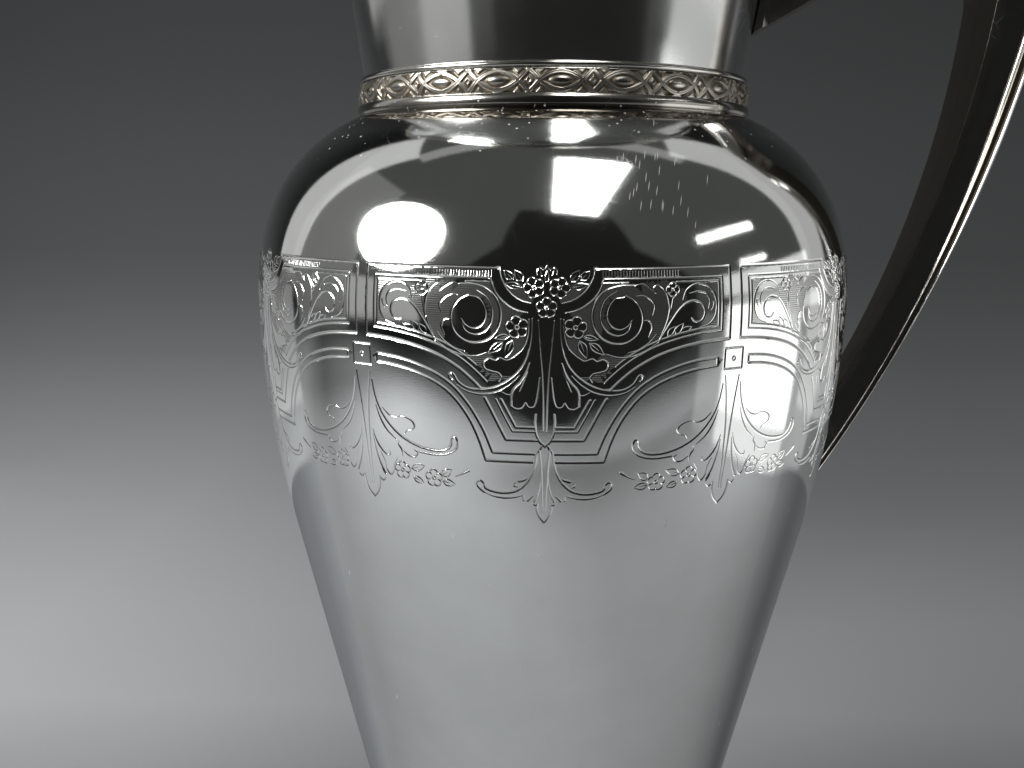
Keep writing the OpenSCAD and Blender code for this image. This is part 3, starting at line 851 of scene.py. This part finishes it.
# %% Join the band and the plain metal
band_points = np.array([v.co for v in band.vertices]) / MM
band_depths = np.zeros(len(band_points))
band.attributes["hollow"].data.foreach_get("value", band_depths)
band_matted = np.zeros(len(band.polygons))
band.attributes["matted"].data.foreach_get("value", band_matted)
first_side = FIRST_PANEL - 180 / PANELS
below, inside, above = body_profile(0.0)
in_below, in_inside, in_above = body_profile(WALL)
inner = np.vstack([in_below, in_inside, in_above])[::-1]
inner = inner[sorted({*range(0, len(inner), 3), len(inner) - 1})]
wall_points, wall_faces = turned(np.vstack([above, inner]), SIDES, first_side, closed=False)
base_points, base_faces = turned(below, SIDES, first_side, closed=False)
body_points, body_faces, body_depths, body_matted = joined([
    (band_points, [tuple(f.vertices) for f in band.polygons], band_depths, band_matted),
    (wall_points, wall_faces, np.zeros(len(wall_points)), np.zeros(len(wall_faces))),
    (base_points, base_faces, np.zeros(len(base_points)), np.zeros(len(base_faces)))])
body_mesh = make_mesh("body", body_points, body_faces, 18.0)
body_mesh.attributes.new("hollow", "FLOAT", "POINT").data.foreach_set("value", body_depths)
body_mesh.attributes.new("matted", "FLOAT", "FACE").data.foreach_set("value", body_matted)
body_mesh.materials.append(SILVER_BODY)
open_edges = len(body_mesh.edges) * 2 - len(body_mesh.loops)
print("body faces:", len(body_faces), "edges left open:", open_edges)

# %% [markdown]
# The plain ground between the cuts has to mirror the room without a ripple. A mesh of uneven triangles
# does not do that by itself, so the exact outward direction of the body is written to the corners of
# every triangle of the ground. The sides of the cuts keep their own directions.

# %% Outward directions of the engraved ground
def true_ground(mesh, points, depth):
    """Writes the body's own outward direction to uncut faces in the band, and rounds the lips of the cuts."""
    mesh.calc_loop_triangles()
    normals = np.array([n.vector for n in mesh.corner_normals])
    r = np.hypot(points[:, 0], points[:, 1])
    z = points[:, 2]
    low, high = FRIEZE_TOP_Z + BOTTOM - 0.01, FRIEZE_TOP_Z + TOP + 0.01
    ground = (depth == 0) & (z > low) & (z < high) & (np.abs(r - outer_radius(np.clip(z, low, high))) < 0.02)
    out = outward(np.clip(z, low, high))
    far = np.maximum(r, 1e-6)
    exact = np.stack([out[:, 0] * points[:, 0] / far, out[:, 0] * points[:, 1] / far, out[:, 1]], 1)
    changed = 0
    for face in mesh.polygons:
        v = list(face.vertices)
        corners = slice(face.loop_start, face.loop_start + face.loop_total)
        if ground[v].all():
            normals[corners] = exact[v]
            changed += 1
        elif (depth[v] > 0).any():
            rounded = 0.4 * normals[corners] + 0.6 * exact[v]
            normals[corners] = np.where(ground[v][:, None], rounded, normals[corners])
    mesh.normals_split_custom_set([tuple(n) for n in normals])
    print("faces of plain ground:", changed)


true_ground(body_mesh, body_points, body_depths)
place("body", body_mesh, "silver_body", "body_shell")

# %% [markdown]
# ## The neck and the rim
#
# The neck is a raised cone that flares to a mouth, and the lip is drawn out from it with a hammer. Seen
# from above the mouth is a circle with a small round nose; each direction from the axis therefore ends
# at its own radius, and the flare is followed as far as that radius. A flat moulded wire is soldered
# under the edge, where a sheet would otherwise be thin and sharp.

# %% Neck
NECK_R, NECK_Z, NECK_LEAN = 43.0, 272.26, math.radians(8.5)
NECK_STRAIGHT = 29.46
FLARE_C, FLARE_R = (106.75, 292.85), 60.0
MOUTH_R, TIP_X, TIP_R = 57.5, 59.0, 13.0
TOUCH = math.acos((MOUTH_R - TIP_R) / TIP_X)


def mouth_radius(from_lip, inset=0.0):
    """Radius of the mouth in a direction, given by its angle from the lip."""
    a = abs(from_lip)
    big, tip = MOUTH_R - inset, TIP_R - inset
    near = math.atan2(tip * math.sin(TOUCH), TIP_X + tip * math.cos(TOUCH))
    if a <= near:
        return TIP_X * math.cos(a) + math.sqrt(tip ** 2 - (TIP_X * math.sin(a)) ** 2)
    return big / math.cos(a - TOUCH) if a < TOUCH else big


def flare_point(r, t):
    """Height of the flare's face, set out by t, at a radius."""
    reach = FLARE_R - t
    return FLARE_C[1] + math.sqrt(reach ** 2 - (FLARE_C[0] - r) ** 2)


def neck_rows(mouth):
    """Outline of the neck's wall in one direction, outside up and inside down."""
    straight = [(NECK_R + h * math.tan(NECK_LEAN), NECK_Z + h) for h in np.linspace(0, NECK_STRAIGHT, 9)]
    rows = list(straight)
    for t, turns in ((0.0, np.linspace(0, 1, 26)[1:]), (-1.0, np.linspace(1, 0, 18)[:-1])):
        reach = FLARE_R - t
        end = math.acos((FLARE_C[0] - mouth) / reach)
        edge = 0.35 / reach
        for u in turns:
            a = NECK_LEAN + (end - edge - NECK_LEAN) * u
            rows.append((FLARE_C[0] - reach * math.cos(a), FLARE_C[1] + reach * math.sin(a)))
        if t == 0.0:
            rows.append((mouth - 0.02, 0.5 * (flare_point(mouth, 0) + flare_point(mouth, -1))))
    return rows + [(r - 1.0, z) for r, z in straight[::-1][::2]]


def swept_round(rows_at, sides):
    """Points and faces of an outline that changes with its direction."""
    a = 2 * math.pi * np.arange(sides) / sides
    columns = []
    for b in a:
        from_lip = math.pi - abs((b + math.pi / 2) % (2 * math.pi) - math.pi)
        columns.append([(r * math.sin(b), -r * math.cos(b), z) for r, z in rows_at(from_lip)])
    n = len(columns[0])
    points = [p for column in columns for p in column]
    faces = [(i * n + k, (i + 1) % sides * n + k, (i + 1) % sides * n + (k + 1) % n, i * n + (k + 1) % n)
             for i in range(sides) for k in range(n)]
    return np.array(points), faces


neck_mesh = make_mesh("neck", *swept_round(lambda a: neck_rows(mouth_radius(a)), SMOOTH_SIDES), 40.0)
neck_mesh.materials.append(SILVER_NECK)
place("neck", neck_mesh, "silver_body", "neck_shell")

# %% Rim wire
def rim_rows(from_lip):
    """Section of the rim wire in one direction: a flat wire with two rounded steps."""
    mouth = mouth_radius(from_lip)
    section = [(0.0, 0.06), (0.0, 0.9), (0.12, 1.16), (0.4, 1.28), (0.8, 1.28), (1.1, 1.16), (1.25, 0.98),
               (1.4, 0.92), (1.55, 0.98), (1.75, 1.02), (2.1, 0.98), (2.4, 0.8), (2.55, 0.5), (2.55, 0.06)]
    return [(mouth - u, flare_point(mouth - u, t)) for u, t in section]


rim_mesh = make_mesh("rim wire", *swept_round(rim_rows, SMOOTH_SIDES), 40.0)
rim_mesh.materials.append(SILVER_MOUNTS)
place("rim_wire_moulding", rim_mesh, "silver_mounts", "rim_wire")

# %% [markdown]
# ## The collar
#
# A collar hides the joint of body and neck. Its middle is a strip that was passed through a pair of
# steel rolls with a pattern cut in them, so its relief repeats: a guilloche, two bands that cross and
# run round oval bosses, with a lozenge where they cross. Two plain drawn wires keep it in place.

# %% Relief of one repeat of the strip
STRIP_Z, STRIP_H, STRIP_R, STRIP_FACE = 273.55, 4.8, 46.0, 4.464
BOSSES = 23
FIRST_BOSS = 2.2
STRIP_PITCH = 2 * math.pi * STRIP_R / BOSSES
ACROSS, UP = 84, 30


def strip_sink(x, y):
    """How far the relief lies below the strip's face, at x along and y up from the middle of a boss."""
    cross, edge = 4.2, 2.15
    end = STRIP_PITCH / 2
    ax = np.abs(x)
    bow = 1.72 * np.cos(np.clip(ax / cross, 0, 1) * np.pi / 2) ** 0.85
    run = (ax - cross) / (end - cross) * edge
    centre = np.where(ax < cross, bow, -run)
    lean = np.where(ax < cross, 0.45 + 0.35 * ax / cross, edge / (end - cross))
    gap = np.minimum(np.abs(y - centre), np.abs(y + centre)) / np.sqrt(1 + lean ** 2)
    band_top = np.clip(1 - (gap / 0.5) ** 4, 0, 1) * (0.42 - 0.16 * np.exp(-(gap / 0.13) ** 2))
    oval = (x / 2.35) ** 2 + (y / 1.02) ** 2
    boss = 0.46 * np.sqrt(np.clip(1 - oval, 0, 1))
    diamond = np.abs(ax - end) / 0.95 + np.abs(y) / 1.15
    lozenge = 0.4 * np.clip((1 - diamond) * 3.0, 0, 1) - 0.22 * np.clip((0.5 - diamond) * 4.0, 0, 1)
    wedge = 0.32 * np.clip((np.abs(y) - 1.15 - 0.9 * np.abs(ax - cross + 0.15)) * 4, 0, 1)
    border = 0.42 * np.clip((np.abs(y) - 2.12) * 8, 0, 1)
    return 0.5 - np.maximum.reduce([band_top, boss, lozenge, wedge, border])


xs = np.linspace(-STRIP_PITCH / 2, STRIP_PITCH / 2, ACROSS + 1)
ys = np.linspace(-STRIP_H / 2, STRIP_H / 2, UP + 1)
gx, gy = np.meshgrid(xs, ys, indexing="ij")
sink = strip_sink(gx, gy)
face_r = STRIP_R - STRIP_FACE + np.sqrt(STRIP_FACE ** 2 - gy ** 2)
angle = gx / STRIP_R
r = face_r - sink
relief = np.stack([r * np.sin(angle), -r * np.cos(angle), STRIP_Z + STRIP_H / 2 + gy], -1)
back_r = np.array([43.3, 44.0])
backs = [np.stack([br * np.sin(angle[:, 0]), -br * np.cos(angle[:, 0]), np.full(ACROSS + 1, bz)], -1)
         for br, bz in zip(back_r, (STRIP_Z, STRIP_Z + STRIP_H))]
rows = np.concatenate([backs[0][:, None], relief, backs[1][:, None]], 1)
n = rows.shape[1]
unit_points = rows.reshape(-1, 3)
unit_faces = [(i * n + k, (i + 1) * n + k, (i + 1) * n + (k + 1) % n, i * n + (k + 1) % n)
              for i in range(ACROSS) for k in range(n)]
unit_mesh = make_mesh("guilloche repeat", unit_points, unit_faces, 60.0)
unit_sink = np.pad(sink, ((0, 0), (1, 1))).reshape(-1)
unit_mesh.attributes.new("hollow", "FLOAT", "POINT").data.foreach_set("value", unit_sink * 0.8)
strip_mesh = repeat_round(unit_mesh, BOSSES, FIRST_BOSS, SILVER_MOUNTS, "guilloche strip")
place("collar_guilloche", strip_mesh, "silver_mounts", "collar_strip")

# %% Collar wires
SOLDER = 0.05


def shoulder_z(r):
    """Height of the shoulder's face at a radius."""
    (cx, cz), big = TOP_SHOULDER
    return cz + math.sqrt(big ** 2 - (r - cx) ** 2)


nose = arc(((43.8, 272.35), 2.2), -31, 30, 16)[0]
seat = [(r, shoulder_z(r) + SOLDER) for r in np.linspace(43.2, 45.2, 5)]
lower_profile = np.vstack([seat, nose, [(43.25, 273.51)]])
lower_wire = make_mesh("lower wire", *turned(lower_profile, SMOOTH_SIDES), 40.0)
lower_wire.materials.append(SILVER_MOUNTS)
place("collar_wire_below", lower_wire, "silver_mounts", "collar_lower_wire")
nose = arc(((44.6, 279.09), 0.7), -90, 90, 16)[0]
upper_profile = np.vstack([[(44.0, 278.39)], nose, [(44.2, 279.79)]])
upper_wire = make_mesh("upper wire", *turned(upper_profile, SMOOTH_SIDES), 40.0)
upper_wire.materials.append(SILVER_MOUNTS)
place("collar_wire_above", upper_wire, "silver_mounts", "collar_upper_wire")

# %% [markdown]
# ## The handle
#
# Each half of the handle is stamped from sheet over a die and the two are soldered along the middle.
# The strap is drawn as two lines in the plane through the axis, its inner and its outer side, and a
# section is set between them at every step. The section has the crisp arris between the inner face
# and the side, a fine reed, a groove, and the thick reed that rolls over the back edge.

# %% Two sides of the strap
BEND_C = np.array([86.0, 298.52])
INNER_R, INNER_LEAN, INNER_BEND_R = 234.6, 5.3, 12.0
OUTER_R, OUTER_LEAN, OUTER_BEND_R = 332.8, 11.5, 24.7
ARM_SLOPE = 29
IN_WALL = 0.5
ARM = -np.array([math.cos(math.radians(ARM_SLOPE)), math.sin(math.radians(ARM_SLOPE))])


def long_arc(r, lean, bend_r):
    """Long arc of one side of the strap, which runs into the bend at its lean."""
    a = math.radians(lean)
    return BEND_C - (r - bend_r) * np.array([math.cos(a), -math.sin(a)]), r


def body_radius(z):
    """Radius of the body's outer face below the shoulder."""
    cone_top = arc(BELLY_ARC, -CONE_ANGLE, 0, 2)[0][0]
    if z > cone_top[1]:
        return outer_radius(z)
    return cone_top[0] - (cone_top[1] - z) * math.tan(math.radians(CONE_ANGLE))


def neck_radius(z):
    """Radius of the neck's outer face."""
    bend = NECK_Z + NECK_STRAIGHT
    if z < bend:
        return NECK_R + (z - NECK_Z) * math.tan(NECK_LEAN)
    return FLARE_C[0] - math.sqrt(FLARE_R ** 2 - (z - FLARE_C[1]) ** 2)


def lower_end(part, sink):
    """Angle at which one side of the strap has gone into the body's wall."""
    for a in np.arange(20.0, 40.0, 0.02):
        p = arc(part, -a, -a, 1)[0][0]
        if p[0] < body_radius(p[1]) - sink:
            return a
    return 40.0


def strap_side(part, lean, bend_r, sink):
    """One side of the strap from the body up, round the bend and down the arm into the neck."""
    low = arc(part, -lower_end(part, sink), -lean, 90)[0]
    bend = arc((tuple(BEND_C), bend_r), -lean, 90 + ARM_SLOPE, 50)[0][1:]
    for length in np.arange(0, 60, 0.02):
        p = bend[-1] + ARM * length
        if p[0] < neck_radius(p[1]) - sink:
            break
    arm = bend[-1] + ARM * length * np.linspace(0, 1, 20)[1:, None]
    return np.vstack([low, bend, arm])


inner_side = strap_side(long_arc(INNER_R, INNER_LEAN, INNER_BEND_R), INNER_LEAN, INNER_BEND_R, IN_WALL)
outer_side = strap_side(long_arc(OUTER_R, OUTER_LEAN, OUTER_BEND_R), OUTER_LEAN, OUTER_BEND_R, IN_WALL)
print("strap steps:", len(inner_side), "lower ends:", inner_side[0].round(1), outer_side[0].round(1))

# %% Section of the strap
LOW_Z, LOW_HALF_W, WIDENING = 173.84, 3.75, 0.0461
BEND_HALF_W, NECK_HALF_W = 11.3, 5.5


def reed(near, far, crest, foot):
    """A reed between two depths from the back face: a steep inner flank and a broad leaning face."""
    rows = [(far, -0.1, 0.3), (far - 0.1, 0.2, 0.1), (far - 0.25, crest - 0.06, 0), (far - 0.4, crest, 0)]
    for k in range(1, 7):
        share = k / 6
        rows.append((far - 0.4 - (far - 0.4 - near) * share, crest + (foot - crest) * share ** 1.35, 0))
    return rows


def strap_section(depth, half_w):
    """Half a section as (share of the way from inner to outer side, distance from the seam, hollow)."""
    # The inner face, the arris and the side just beyond it are marked as if they were hollows: their
    # darkening is painted shade.
    rows = [(depth, 0.02 - half_w, 0.3), (depth - 0.1, -0.55 * half_w, 0.28), (depth - 0.3, -0.9, 0.26),
            (depth - 0.42, -0.03, 0.25), (depth - 0.45, 0, 0.15)]
    rows += [(depth * 0.66, 0, 0), (5.0, 0, 0), (4.55, 0, 0.05)]
    rows += reed(3.05, 4.4, 0.42, -0.15)
    rows += [(2.95, -0.3, 0.45), (2.4, -0.34, 0.5), (1.85, -0.3, 0.45)]
    rows += reed(0.35, 1.75, 0.45, -0.6)
    rows += [(0.12, -0.95, 0), (0.0, -1.5, 0), (0.0, -0.5 * half_w, 0), (0.0, 0.02 - half_w, 0)]
    return [((depth - d) / depth, half_w + y, hollow) for d, y, hollow in rows]


def strap_width(x, z):
    """Half the width of the strap: it widens upwards, and narrows again along the arm to the neck."""
    wide = LOW_HALF_W + WIDENING * (z - LOW_Z)
    at_arm = NECK_HALF_W + (x - NECK_R) * (BEND_HALF_W - NECK_HALF_W) / (BEND_C[0] - NECK_R)
    return min(wide, at_arm) if z > BEND_C[1] else wide


# %% Two halves of the handle
def handle_half(name, side, node):
    """One half of the handle; side is -1 for the front and +1 for the rear."""
    points, hollows = [], []
    for a, b in zip(inner_side, outer_side):
        depth = float(np.hypot(*(b - a)))
        half_w = strap_width(*(0.5 * (a + b)))
        for share, y, hollow in strap_section(depth, half_w):
            x, z = a + (b - a) * share
            points.append((x, side * y, z))
            hollows.append(hollow)
    n = len(points) // len(inner_side)
    last = (len(inner_side) - 1) * n
    faces = [(i * n + k, (i + 1) * n + k, (i + 1) * n + (k + 1) % n, i * n + (k + 1) % n)
             for i in range(len(inner_side) - 1) for k in range(n)]
    faces += [tuple(range(n)), tuple(range(last + n - 1, last - 1, -1))]
    if side > 0:
        faces = [f[::-1] for f in faces]
    mesh = make_mesh(name, points, faces, 35.0)
    mesh.attributes.new("hollow", "FLOAT", "POINT").data.foreach_set("value", hollows)
    mesh.materials.append(SILVER_HANDLE)
    place(name, mesh, "silver_handle", node)


handle_half("handle_half_front", -1, "handle_front_half")
handle_half("handle_half_rear", 1, "handle_rear_half")

# %% [markdown]
# ## The foot
#
# The foot is spun in one sweep, with a turned ring between it and the body and a moulded wire under
# its edge, which takes the wear of the table.

# %% Stem ring, foot and foot rim
ring_nose = arc(((14.5, 41.54), 3.0), -56.4, 56.4, 24)[0]
(base_x, base_z), base_r = BASE_ROUND
under = [(r, base_z - math.sqrt(base_r ** 2 - (r - base_x) ** 2) - SOLDER) for r in (14.45, 13.0, 11.55)]
ring_section = np.vstack([[(11.55, 39.06), (14.5, 39.06)], ring_nose, [(14.45, 44.04)], under])
ring_mesh = make_mesh("stem ring", *turned(ring_section, 192), 40.0)
ring_mesh.materials.append(SILVER_MOUNTS)
place("stem_knop", ring_mesh, "silver_mounts", "stem_ring")
sweep = arc(((44.5, 39.0), 30.0), 180, 270, 40)[0]
hollow_side = arc(((44.5, 39.0), 31.0), 270, 180, 40)[0]
edge = [(44.8, 8.96), (44.98, 8.7), (44.98, 8.2), (44.8, 8.02)]
foot_mesh = make_mesh("foot", *turned(np.vstack([sweep, edge, hollow_side])[::-1], SMOOTH_SIDES), 40.0)
foot_mesh.materials.append(SILVER_BODY)
place("foot", foot_mesh, "silver_body", "foot_shell")
bead = arc(((45.0, 2.0), 2.0), -80, 62, 24)[0]
cove = [(45.92, 4.1), (45.75, 4.6), (45.7, 5.2), (45.6, 5.6), (45.3, 5.9), (45.0, 6.3), (44.95, 7.0),
        (44.85, 7.7), (44.6, 7.95)]
rim_section = np.vstack([[(40.55, 0.35), (40.9, 0.0), (45.0, 0.0)], bead, cove, [(40.9, 7.95), (40.55, 7.6)]])
foot_rim_mesh = make_mesh("foot rim", *turned(rim_section, SMOOTH_SIDES), 35.0)
foot_rim_mesh.materials.append(SILVER_MOUNTS)
place("foot_rim_moulding", foot_rim_mesh, "silver_mounts", "foot_rim")

# %% [markdown]
# ## The room, the light and the camera
#
# A silver ewer has no colour of its own: it is a picture of the room. It stands on a sheet of grey paper
# that rises behind it, as a photographer of silver sets it up. Light and shade on the sheet are painted
# into its greys: it is darker to the far left, up the backdrop and far in front, a painted contact shade
# lies just behind the foot, and a painted shadow lies behind the handle.
# Lengths in the room are metres.

# %% Floor and backdrop
# Where along and across the paper the painted shadow behind the handle lies, and how dark it is.
SHADE_X, SHADE_RUN, SHADE_DEPTH = 0.35, 0.55, 0.33


def paint(mesh, greys, tint):
    """Matt paper with the given grey at each point, painted light and shade included."""
    colours = np.column_stack([np.outer(greys, tint), np.ones(len(greys))])
    mesh.attributes.new("grey", "FLOAT_COLOR", "POINT").data.foreach_set("color", colours.ravel())
    material = bpy.data.materials.new(mesh.name)
    material.use_nodes = True
    material.node_tree.nodes.clear()
    build_nodes(material.node_tree, [
        ("grey", "ShaderNodeAttribute", {"attribute_name": "grey"}, {}),
        ("paper", "ShaderNodeBsdfDiffuse", {}, {"Color": "grey.Color"}),
        ("out", "ShaderNodeOutputMaterial", {}, {"Surface": "paper.BSDF"}),
    ])
    mesh.materials.append(material)


def stage_piece(name, mesh):
    """Puts a mesh into the scene as part of the room."""
    thing = bpy.data.objects.new(name, mesh)
    bpy.context.scene.collection.objects.link(thing)
    print("in the room:", name)
    return thing


def paper_sweep(name, side_stops, front, back, run_stops):
    """A sheet of paper that lies on the floor and rises behind, with greys along and across it that hold
    painted light and shade and a painted shadow behind the handle.
    """
    line = [(y, 0.0) for y in np.arange(-1.5, 0.51, 0.1)]
    line += [(0.5 + 0.5 * math.sin(a), 0.5 - 0.5 * math.cos(a)) for a in np.linspace(0.08, math.pi / 2, 16)]
    line += [(1.0, z) for z in np.arange(0.6, 2.3, 0.2)]
    run = np.cumsum([0] + [math.dist(p, q) for p, q in zip(line, line[1:])]) - 1.5
    xs = np.concatenate([[-2.5, -1.6], np.arange(-1.0, 1.01, 0.1), [1.6, 2.5]])
    n = len(xs)
    mesh = bpy.data.meshes.new(name)
    mesh.from_pydata([(x, y, z) for y, z in line for x in xs], [],
                     [(i * n + k, i * n + k + 1, (i + 1) * n + k + 1, (i + 1) * n + k)
                      for i in range(len(line) - 1) for k in range(n - 1)])
    mesh.polygons.foreach_set("use_smooth", np.ones(len(mesh.polygons), bool))
    behind = np.interp(run, [0.0, 0.14], [0, 1])[:, None]
    fade = np.interp(run, [0.6, 1.1], [1.0, 0.2])[:, None]
    sides = np.interp(xs, side_stops, front) * (1 - behind) + np.interp(xs, side_stops, back) * behind
    sides = 1 + (sides - 1) * fade
    # A painted shadow behind the handle darkens the grey here.
    shade = np.exp(-((run - SHADE_RUN) / np.where(run < SHADE_RUN, 0.25, 0.4)) ** 2)[:, None]
    shade = shade * np.exp(-((xs - SHADE_X) / 0.35) ** 2)
    grey = np.interp(run, *run_stops)[:, None] * sides * (1 - SHADE_DEPTH * shade)
    paint(mesh, grey.ravel(), (0.975, 1.0, 1.02))
    stage_piece(name, mesh)


# Greys across and along the sheet, with painted light and shade in them; the dip in a band just behind the
# foot is a painted contact shade.
SIDE_STOPS = [-1.5, -0.8, -0.66, -0.55, -0.3, 0.0, 0.1, 0.3, 0.5, 1.5]
FRONT_LIGHT_SHARES = [0.25, 0.22, 0.42, 0.67, 0.8, 0.74, 0.71, 0.84, 1.0, 0.9]
BACK_LIGHT_SHARES = [0.5, 0.5, 0.7, 0.85, 0.92, 0.72, 0.68, 0.78, 0.82, 0.8]
RUN_STOPS = [-0.75, -0.6, -0.45, -0.3, -0.05, 0.06, 0.13, 0.16, 0.32, 0.5, 0.8, 0.92, 1.2, 1.5]
RUN_GREYS_AND_SHADE = [0.05, 0.1, 0.42, 0.48, 0.36, 0.25, 0.36, 0.46, 0.47, 0.44, 0.175, 0.11, 0.072, 0.05]
paper_sweep("paper_sweep", SIDE_STOPS, FRONT_LIGHT_SHARES, BACK_LIGHT_SHARES, (RUN_STOPS, RUN_GREYS_AND_SHADE))

# %% [markdown]
# What the silver mirrors is set up round it. A dark cloth on the camera's side makes the shoulder and the
# frieze dark, so that the cut lines show. A dark grey sheet lies on the floor behind each side, seen only
# in the silver: it is painted shade in the reflection, which darkens the edges of the cone. Soft boxes
# stand for windows, and white cards fill the rest.

# %% Dark cloth, and sheets of painted shade on the floor
def dark_screen(name, y, outline):
    """A black cloth on the camera's side, which the silver mirrors; the camera looks past it."""
    mesh = bpy.data.meshes.new(name)
    mesh.from_pydata([(x, y, z) for x, z in outline], [], [tuple(range(len(outline)))])
    material = bpy.data.materials.new(name)
    material.use_nodes = True
    cloth = material.node_tree.nodes["Principled BSDF"]
    cloth.inputs["Base Color"].default_value = (0.022, 0.021, 0.02, 1.0)
    cloth.inputs["Roughness"].default_value = 1.0
    mesh.materials.append(material)
    stage_piece(name, mesh).visible_camera = False


dark_screen("dark_screen", -0.45,
            [(-0.03, 0.045), (0.05, 0.045), (0.16, 0.07), (0.55, 0.13), (0.55, 0.36), (0.26, 0.46),
             (0.2, 0.62), (-0.1, 0.66), (-0.14, 0.46), (-0.27, 0.36), (-0.27, 0.13), (-0.12, 0.07)])


def shade_card(name, side, stops, greys):
    """A sheet on the floor behind one side that only the silver shows, grey by its angle about the axis:
    painted shade in the reflection.
    """
    angles = np.radians(np.arange(102.0, 169.0, 3.0))
    rims = [(r * math.sin(a) * side, -r * math.cos(a), 0.003) for a in angles for r in (0.12, 0.5)]
    n = len(angles)
    mesh = bpy.data.meshes.new(name)
    mesh.from_pydata(rims, [], [(2 * i, 2 * i + 1, 2 * i + 3, 2 * i + 2)[::side] for i in range(n - 1)])
    grey = np.repeat(np.interp(np.degrees(angles), stops, greys), 2)
    paint(mesh, grey, (0.965, 1.0, 1.05))
    thing = stage_piece(name, mesh)
    # Unseen by the camera, by shadows and by diffuse light, the sheet is painted shade that only the silver
    # mirrors.
    thing.visible_camera = thing.visible_shadow = thing.visible_diffuse = False


shade_card("shade_card_left", -1, [102, 120, 150, 168], [0.25, 0.19, 0.19, 0.24])
shade_card("shade_card_right", 1, [102, 122, 150, 168], [0.23, 0.18, 0.18, 0.2])

# %% Lamps and world
def lamp(name, location, way, size, brightness, shape="RECTANGLE"):
    """A flat soft light that shines along a direction; brightness 1 looks like white paper in full light."""
    light = bpy.data.lights.new(name, "AREA")
    light.shape = shape
    light.size, light.size_y = size
    light.energy = 4 * brightness * size[0] * size[1]
    thing = bpy.data.objects.new(name, light)
    thing.location = location
    thing.rotation_euler = Vector(way).to_track_quat("-Z", "Y").to_euler()
    thing.visible_camera = False
    bpy.context.scene.collection.objects.link(thing)


def soft_box(name, azimuth, elevation, distance, wide, high, brightness, shape="RECTANGLE"):
    """A soft light seen from the ewer in a direction, its size as angles; azimuth 0 is the camera's side."""
    a, e = math.radians(azimuth), math.radians(elevation)
    way = Vector((math.sin(a) * math.cos(e), -math.cos(a) * math.cos(e), math.sin(e)))
    size = [2 * distance * math.tan(math.radians(angle / 2)) for angle in (wide, high)]
    lamp(name, Vector((0, 0, 0.24)) + distance * way, -way, size, brightness, shape)


lamp("window above", (0.25, -0.85, 1.455), (0, 0, -1), (0.44, 1.26), 5.0)
lamp("arch above", (0.0, 0.1, 1.5), (0, 0, -1), (1.6, 0.15), 0.15)
lamp("white card right", (0.47, -0.1, 0.14), (-1, 0, 0), (0.31, 0.17), 1.0)
lamp("grey card before it", (0.47, -0.31, 0.1), (-1, 0, 0), (0.11, 0.2), 0.1)
lamp("foot of the card", (0.47, -0.1, 0.0275), (-1, 0, 0), (0.31, 0.055), 0.45)
lamp("grey card behind it", (0.47, 0.145, 0.1125), (-1, 0, 0), (0.18, 0.225), 0.15)
soft_box("window left", -60, 26, 1.2, 33, 27, 12.0, "ELLIPSE")
soft_box("screen left", -113, 31, 1.2, 17, 54, 0.36)
soft_box("grey screen left", -90, 18, 1.2, 30, 54, 0.08)
soft_box("card left", -60, 0, 0.75, 30, 15, 0.22)
soft_box("low card left", -122, -10, 0.75, 32, 18, 0.17)
soft_box("screen right", 113, 32, 1.2, 17, 60, 0.3)
soft_box("grey card right", 91.5, -1.5, 0.85, 52, 7, 0.3)
soft_box("upper card right", 84, 6.5, 0.85, 44, 8, 0.52)
soft_box("low card right", 123, -10, 0.75, 36, 20, 0.22)
soft_box("strip right", 70, 25, 1.2, 24, 2.4, 3.0)
soft_box("short strip right", 78, 13.5, 1.2, 12, 1.5, 2.0)
world = bpy.data.worlds.new("room")
bpy.context.scene.world = world
world.use_nodes = True
world.node_tree.nodes["Background"].inputs["Color"].default_value = (0.058, 0.06, 0.055, 1.0)
world.node_tree.nodes["Background"].inputs["Strength"].default_value = 1.0
print("lamps:", len(bpy.data.lights))

# %% Camera
EYE_AT = (0.0, -0.23953, 0.25570)
RIGHT = (0.99921, 0.03938, 0.00541)
UP_WAY = (-0.01319, 0.20007, 0.97969)
AHEAD = (-0.03750, 0.97899, -0.20044)
camera = bpy.data.cameras.new("camera")
camera.sensor_width = 36.0
camera.lens = 33.891
camera.clip_start = 0.01
eye = bpy.data.objects.new("camera", camera)
turn = Matrix((RIGHT, UP_WAY, [-v for v in AHEAD])).transposed().to_4x4()
eye.matrix_world = Matrix.Translation(EYE_AT) @ turn
bpy.context.scene.collection.objects.link(eye)
bpy.context.scene.camera = eye
bpy.context.scene.view_settings.view_transform = "Standard"
print("camera lens in mm:", round(camera.lens, 1))
